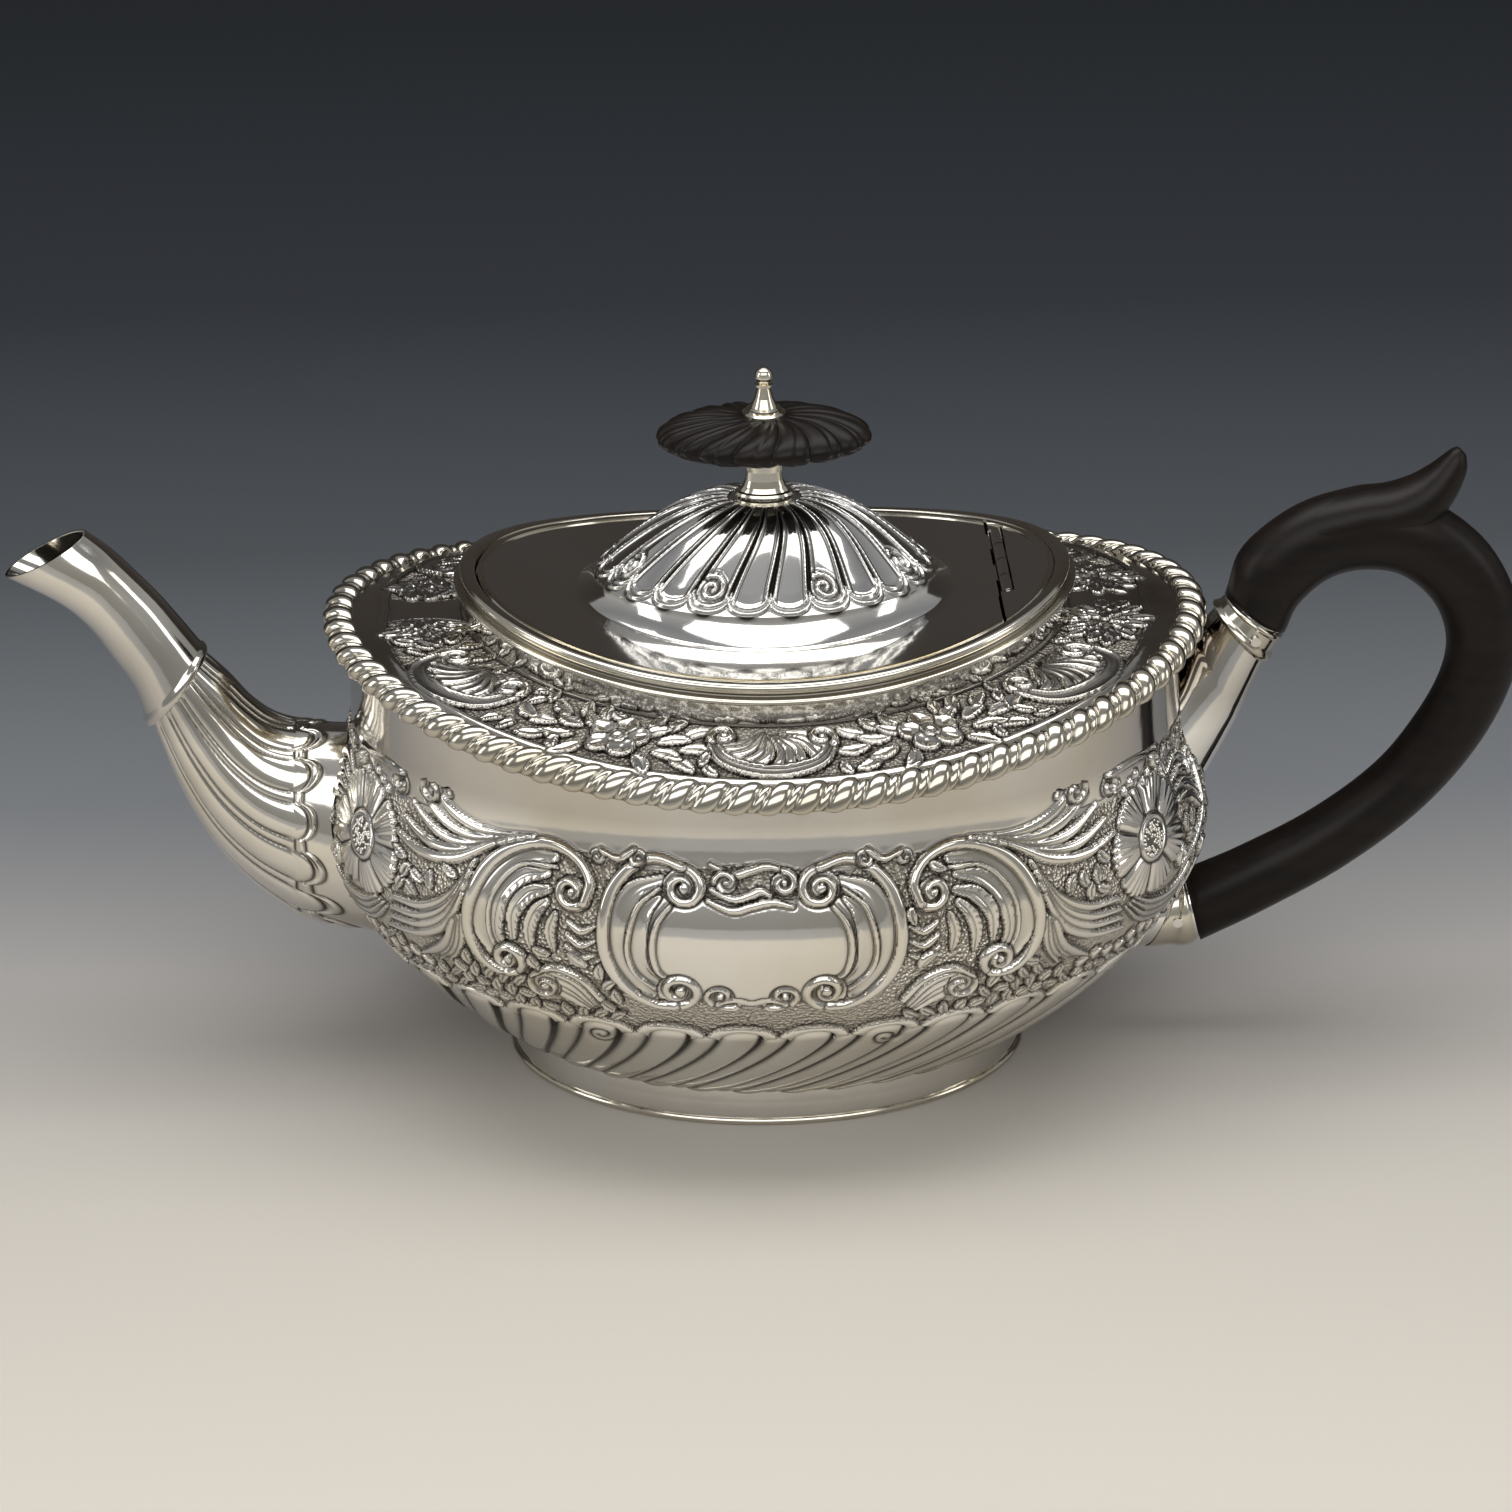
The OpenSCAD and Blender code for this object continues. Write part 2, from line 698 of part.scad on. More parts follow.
// The dome's side from its flat top down to the scalloped line, drawn in by inset
function dome_side(inset) = [
    for (i = [0:14]) let (u = i / 14)
        [dome_flat + (dome_a - dome_flat) * u - inset * u,
            scallop_z + dome_rise * pow(1 - pow(u, 2.1), 1.3) - inset * (1 - 0.3 * u)]
];

// Saddle plate and dome, raised from one sheet
module lid() {
    skirt = [for (t = [0:15:90]) [dome_a + skirt_w * (1 - cos(t)), scallop_z - (dome_step + lid_sheet) * sin(t)]];
    color(silver)
    difference() {
        union() {
            difference() {
                saddle_sheet(lid_a, -lid_sheet, 0);
                past_x(lid_edge_x);
                oval_prism(dome_a, plate_z - 5, plate_z + 10);
            }
            intersection() {
                oval_turn(plan_ratio) polygon(concat([[0, dome_z]], dome_side(0), skirt,
                    [[dome_a + skirt_w - lid_sheet, plate_z - lid_sheet]],
                    [for (t = [75:-15:15]) [dome_a + skirt_w * (1 - cos(t)) - lid_sheet,
                        scallop_z - (dome_step + lid_sheet) * sin(t) - 0.1]],
                    [for (i = [len(dome_side(0)) - 2:-1:0]) dome_side(lid_sheet)[i]],
                    [[0, under_dome]]));
                over_saddle(-lid_sheet);
            }
        }
        translate([0, 0, dome_z - 5]) cylinder(r = stud_r + pin_fit, h = 10, $fn = 48);
    }
}

module lid_edge_wire() {
    color(worn_silver)
    difference() {
        saddle_band(lid_a - 0.1, lid_a - 1, 0, 0.35);
        past_x(lid_edge_x);
    }
}

// Short wall under the lid that keeps it in the mouth, open towards the hinge
module lid_bezel() {
    outer = mouth_a - ledge_w - run_gap - 0.1;
    color(silver)
    difference() {
        saddle_band(outer, outer - lid_sheet, -lid_sheet - bezel_h, -lid_sheet);
        past_x(corner_x);
    }
}

// ---- knob -----------------------------------------------------------------------------
button_a = button_len / 2;
flange_a = stem_flange_len / 2;
stem_top = dome_z + stem_h;
button_top = stem_top + button_h;
waist = 0.42;

module knob_stem() {
    color(worn_silver)
    translate([0, 0, dome_z]) difference() {
        oval_turn(knob_ratio) polygon([
            [0, 0], [flange_a - 0.3, 0], [flange_a, 0.5], [flange_a, 1], [flange_a - 0.3, 1.4],
            [flange_a - 0.9, 1.6], [flange_a * 0.72, 2.4], [flange_a * 0.64, 3.6], [flange_a * 0.6, 5.2],
            [flange_a * 0.61, stem_h - 1.8], [flange_a * 0.68, stem_h - 0.8], [flange_a * 0.76, stem_h],
            [0, stem_h]]);
        translate([0, 0, -1]) cylinder(r = stud_r + pin_fit, h = stem_h + 2, $fn = 48);
    }
}

module knob_button() {
    color(ebony)
    difference() {
        oval_turn(knob_ratio) polygon([
            for (t = [-90:7.5:90]) [button_a * pow(max(cos(t), 0), 0.72),
                stem_top + button_h * (waist + (t < 0 ? waist : 1 - waist) * sin(t))]]);
        translate([0, 0, stem_top - 1]) cylinder(r = stud_r + pin_fit, h = button_h + 2, $fn = 48);
    }
}

// Stepped flange, cone, ring and ball, drawn for a height of 8.9
module knob_finial() {
    k = finial_h / 8.9;
    ball = 1.65;
    side = concat(
        [[0, 0], [3.9, 0], [3.9, 0.5], [3.4, 0.8], [3, 0.8], [3, 1.3], [2.4, 1.6],
            [1.7, 3.2], [1.15, 5], [1.6, 5.35], [1.6, 5.8], [0.9, 5.95]],
        [for (t = [-55:11:90]) [ball * cos(t), 8.9 - ball + ball * sin(t)]],
        [[0, 8.9]]);
    color(worn_silver)
    translate([0, 0, button_top]) difference() {
        rotate_extrude() polygon(side * k);
        translate([0, 0, -1]) cylinder(r = stud_r + pin_fit, h = 3.6, $fn = 48);
    }
}

washer_h = 0.8;
nut_h = 2.2;
washer_z = under_dome - washer_h;

module knob_stud() {
    low = washer_z - nut_h - 0.6;
    color(silver)
    translate([0, 0, low]) cylinder(r = stud_r, h = button_top + 2.4 - low, $fn = 48);
}

module knob_washer() {
    color(silver)
    translate([0, 0, washer_z]) difference() {
        cylinder(r = 3.8, h = washer_h, $fn = 48);
        translate([0, 0, -1]) cylinder(r = stud_r + pin_fit, h = washer_h + 2, $fn = 48);
    }
}

module knob_nut() {
    color(silver)
    translate([0, 0, washer_z - nut_h]) difference() {
        cylinder(r = 2.9, h = nut_h, $fn = 6);
        translate([0, 0, -1]) cylinder(r = stud_r + pin_fit, h = nut_h + 2, $fn = 48);
    }
}

body_bowl();
base_plate();
foot_ring();
foot_wire();
shoulder();
gadroon_border();
collar();
lid_frame();
lid_ledge();
spout_base();
spout_tube();
upper_socket();
upper_socket_band();
lower_socket();
lower_socket_band();
handle();
upper_handle_pin();
lower_handle_pin();
end_plate();
end_plate_wire();
hinge_leaf_fixed();
hinge_pin();
lid();
lid_edge_wire();
lid_bezel();
hinge_leaf_lid();
knob_stem();
knob_button();
knob_finial();
knob_stud();
knob_washer();
knob_nut();
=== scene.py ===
import json
import math

import bpy
import numpy as np
from mathutils import Matrix, Vector


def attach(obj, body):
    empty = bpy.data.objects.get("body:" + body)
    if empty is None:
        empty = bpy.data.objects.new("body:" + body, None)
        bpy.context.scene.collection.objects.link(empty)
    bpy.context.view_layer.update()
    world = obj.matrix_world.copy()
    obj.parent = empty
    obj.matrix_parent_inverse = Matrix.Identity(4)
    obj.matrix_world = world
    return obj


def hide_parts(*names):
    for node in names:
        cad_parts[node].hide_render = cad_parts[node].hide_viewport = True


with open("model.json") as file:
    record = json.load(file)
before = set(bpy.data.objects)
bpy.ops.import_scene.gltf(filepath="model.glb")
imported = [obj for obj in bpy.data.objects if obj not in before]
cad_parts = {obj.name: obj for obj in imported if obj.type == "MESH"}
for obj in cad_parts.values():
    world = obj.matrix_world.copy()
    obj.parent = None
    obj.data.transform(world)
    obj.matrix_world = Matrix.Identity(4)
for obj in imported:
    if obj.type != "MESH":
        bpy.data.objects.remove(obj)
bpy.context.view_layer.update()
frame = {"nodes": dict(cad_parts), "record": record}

# ---- Table, lights and camera ----------------------------------------------------------------
# The pot stands on a pale sweep of paper whose colour is painted by depth: a painted pool of light in a band
# just in front of the pot, and painted shade under and behind it. One large soft box hangs overhead and a
# second stands behind the camera, with a weak fill on each side.
scene = bpy.context.scene
scene.view_settings.view_transform = "Standard"
image_side, focal_px, camera_far = 1512, 4904.1, 0.9
look_at = Vector((-0.0018, 0.0, 0.0567))
elevation, turn, roll = math.radians(24.26), math.radians(-1.71), math.radians(-0.38)
camera_data = bpy.data.cameras.new("camera")
camera_data.sensor_width = 36.0
camera_data.lens = focal_px / image_side * camera_data.sensor_width
camera = bpy.data.objects.new("camera", camera_data)
scene.collection.objects.link(camera)
back = Vector((math.sin(turn) * math.cos(elevation), -math.cos(turn) * math.cos(elevation),
               math.sin(elevation)))
right = (-back).cross(Vector((0, 0, 1))).normalized()
up = right.cross(-back)
camera_axes = Matrix((right * math.cos(roll) + up * math.sin(roll),
                      up * math.cos(roll) - right * math.sin(roll), back)).transposed()
camera.matrix_world = Matrix.Translation(look_at + back * camera_far) @ camera_axes.to_4x4()
scene.camera = camera


def node_adder(tree):
    """Empties a node tree and gives a function that adds a node to it. Inputs go by name or number,
    each with a value or with the output of an earlier node."""
    tree.nodes.clear()

    def add(kind, inputs=None, **settings):
        node = tree.nodes.new(kind)
        for key, value in settings.items():
            setattr(node, key, value)
        for key, value in (inputs or {}).items():
            if isinstance(value, bpy.types.NodeSocket):
                tree.links.new(value, node.inputs[key])
            else:
                node.inputs[key].default_value = value
        return node

    return add


def new_material(name):
    """An empty node material, and the function that adds its nodes."""
    made = bpy.data.materials.new(name)
    made.use_nodes = True
    return made, node_adder(made.node_tree)


def ramp(add, level, stops):
    """The colour output of a ramp with stops of position and colour."""
    node = add("ShaderNodeValToRGB", {"Fac": level})
    elements = node.color_ramp.elements
    elements.remove(elements[-1])
    elements[0].position, elements[0].color = stops[0][0], (*stops[0][1], 1)
    for position, colour in stops[1:]:
        elements.new(position).color = (*colour, 1)
    return node.outputs["Color"]


paper, add = new_material("paper_painted_light")
split = add("ShaderNodeSeparateXYZ", {0: add("ShaderNodeTexCoord").outputs["Object"]})
depth = add("ShaderNodeMapRange", {"Value": split.outputs["Y"], "From Min": -0.9, "From Max": 1.1})
# Painted light and shade on the paper: a bright band just in front of the pot, and painted shade under and
# behind it.
painted_floor_light_and_shade = ramp(add, depth.outputs[0], [
    (0.27, (0.40, 0.395, 0.385)), (0.330, (0.42, 0.415, 0.40)), (0.345, (0.66, 0.62, 0.55)),
    (0.37, (0.67, 0.625, 0.555)), (0.418, (0.57, 0.535, 0.475)), (0.456, (0.41, 0.39, 0.37)),
    (0.502, (0.195, 0.204, 0.216)), (0.572, (0.078, 0.085, 0.093)), (0.66, (0.036, 0.040, 0.048)),
    (0.80, (0.025, 0.029, 0.034)), (0.90, (0.03, 0.03, 0.032)), (1.0, (0.105, 0.092, 0.085))])
paint = add("ShaderNodeBsdfPrincipled", {"Base Color": painted_floor_light_and_shade, "Roughness": 0.8, "Specular IOR Level": 0.1})
add("ShaderNodeOutputMaterial", {0: paint.outputs[0]})

floor_half, floor_near, wall_near, bend_radius, wall_top = 2.2, -0.9, 0.9, 0.5, 1.4
bend = np.linspace(0.1, math.pi / 2, 12)
sweep = [(floor_near, 0.0), (wall_near, 0.0)]
sweep += [(wall_near + bend_radius * math.sin(a), bend_radius * (1 - math.cos(a))) for a in bend]
sweep += [(wall_near + bend_radius, wall_top)]
sweep_points = [(x, y, z) for y, z in sweep for x in (-floor_half, floor_half)]
sweep_faces = [(2 * i, 2 * i + 1, 2 * i + 3, 2 * i + 2) for i in range(len(sweep) - 1)]
floor_mesh = bpy.data.meshes.new("paper_sweep")
floor_mesh.from_pydata(sweep_points, [], sweep_faces)
floor_mesh.materials.append(paper)
floor_mesh.shade_smooth()
floor = bpy.data.objects.new("paper_sweep", floor_mesh)
scene.collection.objects.link(floor)


def soft_box(name, at, aim, width, height, power):
    data = bpy.data.lights.new(name, "AREA")
    data.shape = "RECTANGLE"
    data.size, data.size_y = width, height
    data.energy = power
    lamp = bpy.data.objects.new(name, data)
    scene.collection.objects.link(lamp)
    lamp.location = at
    lamp.rotation_euler = (Vector(aim) - Vector(at)).to_track_quat("-Z", "Y").to_euler()


soft_box("overhead", (0.0, 0.02, 1.0), (0, 0.02, 0.05), 1.3, 0.50, 6.4)
soft_box("behind_camera", (0.0, -1.22, 1.02), (0, 0, 0.08), 2.1, 0.80, 10.2)
soft_box("left_fill", (-1.1, -0.35, 0.50), (0, 0, 0.07), 0.35, 0.8, 2.0)
soft_box("right_fill", (1.1, -0.30, 0.50), (0, 0, 0.07), 0.25, 0.7, 1.2)

world = bpy.data.worlds.new("studio")
scene.world = world
world.use_nodes = True
add = node_adder(world.node_tree)
split = add("ShaderNodeSeparateXYZ", {0: add("ShaderNodeTexCoord").outputs["Generated"]})
height = add("ShaderNodeMapRange", {"Value": split.outputs["Z"], "From Min": -1})
sky = ramp(add, height.outputs[0], [
    (0.0, (0.16, 0.16, 0.165)), (0.48, (0.27, 0.265, 0.25)), (0.60, (0.30, 0.295, 0.28)),
    (0.70, (0.36, 0.36, 0.355)), (0.85, (0.22, 0.225, 0.235)), (1.0, (0.42, 0.42, 0.43))])
background = add("ShaderNodeBackground", {"Color": sky})
add("ShaderNodeOutputWorld", {0: background.outputs[0]})


# ---- Bowl ------------------------------------------------------------------------------------
# The bowl is raised from one sheet of silver, oval in plan. It is fluted from the foot up to a
# scalloped line, chased above that with scrolls, leaves and flowers on a matted ground, and left
# plain at the neck. Its top edge is soldered under the shoulder.
MM = 0.001
coarse = 1
plan = 0.78
belly_a, belly_z, base_a, foot_h = 81.2, 50.0, 48.0, 7.0
neck_a, neck_z, crown_z, arch_r = 75.5, 68.0, 87.0, 173.0
sheet_t = 0.9
full_turn = 2 * np.pi


def silver(name, tone, tarnish, roughness):
    """Polished silver with oxide in the hollows, a matted ground and a faint warm tarnish. Its colour is
    painted darker by height at the foot and under the rim, as painted shade, and it has a brown stain at the
    root of the upper socket."""
    made, add = new_material(name)

    def mixed(factor, a, b, **settings):
        node = add("ShaderNodeMix", {"Factor": factor, "A": a, "B": b}, data_type="RGBA", **settings)
        return node.outputs["Result"]

    def joined(operation, a, b):
        return add("ShaderNodeMath", {0: a, 1: b}, operation=operation).outputs[0]

    at = add("ShaderNodeTexCoord").outputs["Object"]
    clouds = add("ShaderNodeTexNoise", {"Vector": at, "Scale": 38.0, "Detail": 5.0}).outputs["Fac"]
    wear = add("ShaderNodeTexNoise", {"Vector": at, "Scale": 150.0, "Detail": 2.0}).outputs["Fac"]
    punches = add("ShaderNodeTexVoronoi", {"Vector": at, "Scale": 1500.0}, feature="F1").outputs["Distance"]
    hollow = add("ShaderNodeAttribute", attribute_name="hollow").outputs["Fac"]
    matted = add("ShaderNodeAttribute", attribute_name="matted").outputs["Fac"]
    height = add("ShaderNodeSeparateXYZ", {0: at}).outputs["Z"]
    level = add("ShaderNodeMapRange", {"Value": height, "From Max": 0.1}).outputs[0]
    away = add("ShaderNodeVectorMath", {0: at, 1: (0.070, 0, 0.079)}, operation="DISTANCE").outputs["Value"]
    close = add("ShaderNodeMapRange", {"Value": away, "From Min": 0.016, "From Max": 0.005}).outputs[0]
    # Painted shade: the colour is darkened by height, at the foot and under the rim.
    painted_height_shade = ramp(add, level, [(0.06, (0.84, 0.83, 0.82)), (0.10, (1, 1, 1)), (0.64, (1, 1, 1)),
                             (0.70, (0.70, 0.69, 0.68)), (0.84, (0.78, 0.77, 0.76)), (0.92, (1, 1, 1))])
    # Random tarnish tone, multiplied by the painted shade.
    tarnish_and_painted_shade = mixed(1.0, ramp(add, clouds, [(0.40, tone), (0.74, tarnish)]), painted_height_shade, blend_type="MULTIPLY")
    stain_and_painted_shade = mixed(joined("MULTIPLY", close, wear), tarnish_and_painted_shade, (0.13, 0.075, 0.042, 1))
    dull = joined("MULTIPLY", matted, 0.72)
    ground = mixed(dull, stain_and_painted_shade, (0.62, 0.57, 0.49, 1))
    colour = mixed(hollow, ground, (0.026, 0.020, 0.015, 1))
    rougher = joined("MAXIMUM", hollow, dull)
    rough = add("ShaderNodeMapRange", {"Value": rougher, "To Min": roughness, "To Max": 0.45})
    dents = add("ShaderNodeBump", {"Strength": 0.20, "Distance": 0.0003, "Height": wear})
    stipple = add("ShaderNodeBump", {"Strength": 1.0, "Distance": 0.0008, "Normal": dents.outputs[0],
                                     "Height": joined("MULTIPLY", punches, matted)})
    metal = add("ShaderNodeBsdfPrincipled", {"Base Color": colour, "Metallic": 1.0,
                                             "Roughness": rough.outputs[0], "Normal": stipple.outputs[0]})
    add("ShaderNodeOutputMaterial", {0: metal.outputs[0]})
    return made


bright_silver = silver("bright_silver", (0.88, 0.87, 0.845), (0.84, 0.815, 0.755), 0.085)
chased_silver = silver("chased_silver", (0.86, 0.835, 0.785), (0.75, 0.705, 0.61), 0.10)
warm_silver = silver("warm_silver", (0.80, 0.765, 0.675), (0.66, 0.60, 0.47), 0.14)


def finish_piece(name, verts, faces, material, body, node, slot, normals=None, **attributes):
    """Makes a smooth piece in metres from points in millimetres, hangs it under its body's empty and hides
    the built part it stands for.
    """
    mesh = bpy.data.meshes.new(name)
    mesh.from_pydata((np.asarray(verts).reshape(-1, 3) * MM).tolist(), [], faces)
    for key, values in attributes.items():
        layer = mesh.attributes.new(key, "FLOAT", "POINT")
        layer.data.foreach_set("value", np.asarray(values, np.float32).ravel())
    mesh.materials.append(material)
    mesh.shade_smooth()
    if normals is not None:
        mesh.normals_split_custom_set_from_vertices(np.asarray(normals).tolist())
    piece = bpy.data.objects.new(name, mesh)
    scene.collection.objects.link(piece)
    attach(piece, body)
    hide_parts(node)


def grid_faces(rows, columns, first=0, closed=True, flip=False):
    """Quads over a grid of points, row by row, closed round its columns if asked."""
    i, j = np.meshgrid(np.arange(rows - 1), np.arange(columns if closed else columns - 1), indexing="ij")
    a = first + i * columns + j
    b = first + i * columns + (j + 1) % columns
    quads = np.stack([a, b, b + columns, a + columns], -1).reshape(-1, 4)
    return (quads[:, ::-1] if flip else quads).tolist()


def ring_faces(rows, columns):
    """Quads over a grid that closes both ways, as a bar bent into a ring does."""
    j, last = np.arange(columns), (rows - 1) * columns
    k = (j + 1) % columns
    return grid_faces(rows, columns) + np.stack([j + last, k + last, k, j], -1).tolist()


def grid_normals(points, closed=True):
    """Normals of a grid of points, outward when its rows run upward and its columns to the right."""
    wide = np.concatenate([points[:, -2:], points, points[:, :2]], 1) if closed else points
    across = np.gradient(wide, axis=1)
    across = across[:, 2:-2] if closed else across
    normals = np.cross(across, np.gradient(points, axis=0))
    return normals / (np.linalg.norm(normals, axis=-1, keepdims=True) + 1e-12)


def shell(name, outer, inner, closed, material, body, node, normals, hollow, matted, slot="silver"):
    """A piece of sheet with an outer and an inner skin, given as grids with the same columns."""
    rows, columns, _ = outer.shape
    inner_rows = inner.shape[0]
    start = rows * columns
    faces = grid_faces(rows, columns, 0, closed) + grid_faces(inner_rows, columns, start, closed, True)
    j = np.arange(columns if closed else columns - 1)
    k = (j + 1) % columns
    last, inner_last = (rows - 1) * columns, start + (inner_rows - 1) * columns
    faces += np.stack([j, j + start, k + start, k], -1).tolist()
    faces += np.stack([j + last, k + last, k + inner_last, j + inner_last], -1).tolist()
    if not closed:
        left = [i * columns for i in range(rows)]
        left_in = [start + i * columns for i in range(inner_rows)]
        faces.append(left + left_in[::-1])
        faces.append([i + columns - 1 for i in left_in] + [i + columns - 1 for i in left[::-1]])
    verts = np.concatenate([outer.reshape(-1, 3), inner.reshape(-1, 3)])
    turned = np.concatenate([normals.reshape(-1, 3), -grid_normals(inner, closed).reshape(-1, 3)])
    blank = np.zeros(inner_rows * columns)
    finish_piece(name, verts, faces, material, body, node, slot, turned,
                 hollow=np.concatenate([hollow.ravel(), blank]),
                 matted=np.concatenate([matted.ravel(), blank]))


def body_a(z):
    """Half length of the bowl at height z: a full belly that tucks in to the neck."""
    rise = np.clip(90 * (z - foot_h) / (belly_z - foot_h), 0, 90)
    low = base_a + (belly_a - base_a) * np.sin(np.radians(rise)) ** 0.88
    tuck = belly_a - (belly_a - neck_a) * (1 - np.cos(np.pi * (z - belly_z) / (neck_z - belly_z))) / 2
    return np.where(z <= belly_z, low, np.where(z >= neck_z, neck_a, tuck))


# Arc length round an oval of half length 1, from the middle of the front
oval_steps = np.linspace(0, full_turn, 4001)
oval_mid = (oval_steps[1:] + oval_steps[:-1]) / 2
oval_runs = np.hypot(np.cos(oval_mid), plan * np.sin(oval_mid)) * np.diff(oval_steps)
oval_arc = np.concatenate([[0], np.cumsum(oval_runs)])
round_arc = oval_arc[-1]
# Length up the side of the bowl, from the belly line
side_z = np.linspace(foot_h, 92, 1600)
side_runs = np.hypot(np.diff(body_a(side_z)) * 0.85, np.diff(side_z))
side_arc = np.concatenate([[0], np.cumsum(side_runs)])
side_arc -= np.interp(belly_z, side_z, side_arc)


def round_columns(columns, first=0.0):
    """Even steps round the oval: arc length from the front, angle, and the arc length with the back
    taken as a mirrored front."""
    arc = (np.arange(columns) / columns * round_arc + first) % round_arc
    away = np.where(arc > round_arc / 2, arc - round_arc, arc)
    folded = np.where(np.abs(away) > round_arc / 4, np.sign(away) * (round_arc / 2) - away, away)
    return arc, np.interp(arc, oval_arc, oval_steps), folded


def oval(theta, a, z):
    """Points at an angle from the front, on an oval of half length a at height z."""
    return np.stack(np.broadcast_arrays(np.sin(theta) * a, -np.cos(theta) * a * plan, z), -1)


def mark(off, width):
    """A fine soft line where off is nought."""
    return np.exp(-(off / width) ** 2)


def dome(q):
    """A round profile, 1 in the middle and 0 where q is 1."""
    return np.sqrt(np.clip(1 - q ** 2, 0, 1))


def lobes(p, broad):
    """Lobes broad and narrow in turn, at share p of a pair: the place across one, and its profile."""
    across = np.where(p < broad, (p / broad - 0.5) * 2, ((p - broad) / (1 - broad) - 0.5) * 2)
    return across, dome(across)


class Sheet:
    """Silver sheet to be chased: s runs round it and t up it, in millimetres, and h is the relief."""

    def __init__(self, s, t):
        self.s, self.t = s, t
        self.h = np.zeros_like(s)
        self.matted = np.zeros_like(s)
        self.hollow = np.zeros_like(s)

    def near(self, path, reach):
        low, high = path.min(0) - reach, path.max(0) + reach
        inside = (self.s > low[0]) & (self.s < high[0]) & (self.t > low[1]) & (self.t < high[1])
        return np.nonzero(inside)

    def lay(self, on, h, hollow=0, spots=...):
        """Puts a polished form of height h where on is true."""
        self.h[spots] = np.where(on, h, self.h[spots])
        self.hollow[spots] = np.where(on, hollow, self.hollow[spots])
        self.matted[spots] = np.where(on, 0, self.matted[spots])

    def darken(self, amount, spots=...):
        self.hollow[spots] = np.maximum(self.hollow[spots], amount)

    def distance(self, path, half):
        """Points near a path, with their distance from it and its half width there."""
        path = np.asarray(path, float)
        half = along(half, len(path))
        spots = self.near(path, half.max() + 1.2)
        s, t = self.s[spots], self.t[spots]
        best, width = np.full(s.shape, 99.0), np.full(s.shape, half[0])
        for a, b, wa, wb in zip(path[:-1], path[1:], half[:-1], half[1:]):
            run = b - a
            u = np.clip(((s - a[0]) * run[0] + (t - a[1]) * run[1]) / max(run @ run, 1e-9), 0, 1)
            d = np.hypot(s - a[0] - u * run[0], t - a[1] - u * run[1])
            closer = d - (wa + (wb - wa) * u) < best - width
            best = np.where(closer, d, best)
            width = np.where(closer, wa + (wb - wa) * u, width)
        return spots, best, width

    def outline(self, spots, gap, dark=1.0, depth=0.16):
        """A fine dark chased line just outside a form."""
        line = mark(gap - 0.20, 0.24)
        self.darken(line * dark, spots)
        self.h[spots] -= line * depth


def along(values, count):
    """Widths or heights spread evenly along a path of count points."""
    values = np.atleast_1d(values).astype(float)
    return np.interp(np.linspace(0, 1, count), np.linspace(0, 1, len(values)), values)


def smooth_path(points, steps=9):
    """A Catmull-Rom curve through the points."""
    p = np.asarray(points, float)
    p = np.vstack([2 * p[0] - p[1], p, 2 * p[-1] - p[-2]])
    u = (np.arange(steps) / steps)[:, None]
    out = []
    for i in range(1, len(p) - 2):
        out.append(0.5 * (2 * p[i] + (p[i + 1] - p[i - 1]) * u
                          + (2 * p[i - 1] - 5 * p[i] + 4 * p[i + 1] - p[i + 2]) * u ** 2
                          + (3 * p[i] - p[i - 1] - 3 * p[i + 1] + p[i + 2]) * u ** 3))
    return np.vstack(out + [p[-2:-1]])


def beside(path, offset):
    """The path moved sideways by offsets spread along it."""
    run = np.gradient(path, axis=0)
    run /= np.linalg.norm(run, axis=1, keepdims=True) + 1e-9
    return path + np.stack([-run[:, 1], run[:, 0]], -1) * along(offset, len(path))[:, None]


def ridge(sheet, path, half, height, lift=0.0, dark=0.9):
    """A rounded cord along a path, with a dark line on both sides."""
    spots, d, width = sheet.distance(path, half)
    on = d < width
    sheet.outline(spots, np.where(on, 9, d - width), dark)
    sheet.lay(on, lift + height * dome(d / width), 0.25 * np.clip(d / width * 2 - 1.4, 0, 1), spots)


def groove(sheet, path, half, depth, dark=0.9):
    """A line chased into the sheet."""
    spots, d, width = sheet.distance(path, half)
    cut = mark(d * 1.2, width)
    sheet.h[spots] -= cut * depth
    sheet.darken(cut * dark, spots)


def crescent(sheet, path, half, edge=0.45, sink=0.35):
    """A hollowed band, lowest along its middle, with a raised edge on both sides."""
    spots, d, width = sheet.distance(path, half)
    on = d < width
    q = np.clip(d / np.maximum(width, 0.2), 0, 1)
    sheet.outline(spots, np.where(on, 9, d - width))
    sheet.lay(on, edge - (sink + 0.1) * (1 - q ** 2.5), 0, spots)


def dot(x, y):
    """A path with next to no length, for round forms."""
    return np.array([(x, y), (x + 0.01, y)])


def coil(centre, radius, inward, first, turned, u, power=1.0):
    """A path that winds inward round a centre, from the angle first."""
    r, angle = radius * (1 - inward * u ** power), first + turned * u
    return np.stack([centre[0] + r * np.cos(angle), centre[1] + r * np.sin(angle)], -1)


def volute(sheet, centre, start, turns, hand, half=0.75, height=0.75):
    """A cord that winds in round a centre to a small ball, over a polished dish."""
    cx, cy = centre
    r = math.hypot(start[0] - cx, start[1] - cy)
    first = math.atan2(start[1] - cy, start[0] - cx)
    u = np.linspace(0, 1, int(24 * turns) + 6)
    wound = coil(centre, r, 0.80, first, hand * full_turn * turns, u, 0.9)
    crescent(sheet, dot(cx, cy), r * 0.9, 0.25, 0.2)
    ridge(sheet, wound, [half, half * 0.9, half * 0.55], height, 0.12)
    ridge(sheet, dot(cx + r * 0.06, cy), r * 0.22, 0.35, height * 0.7)


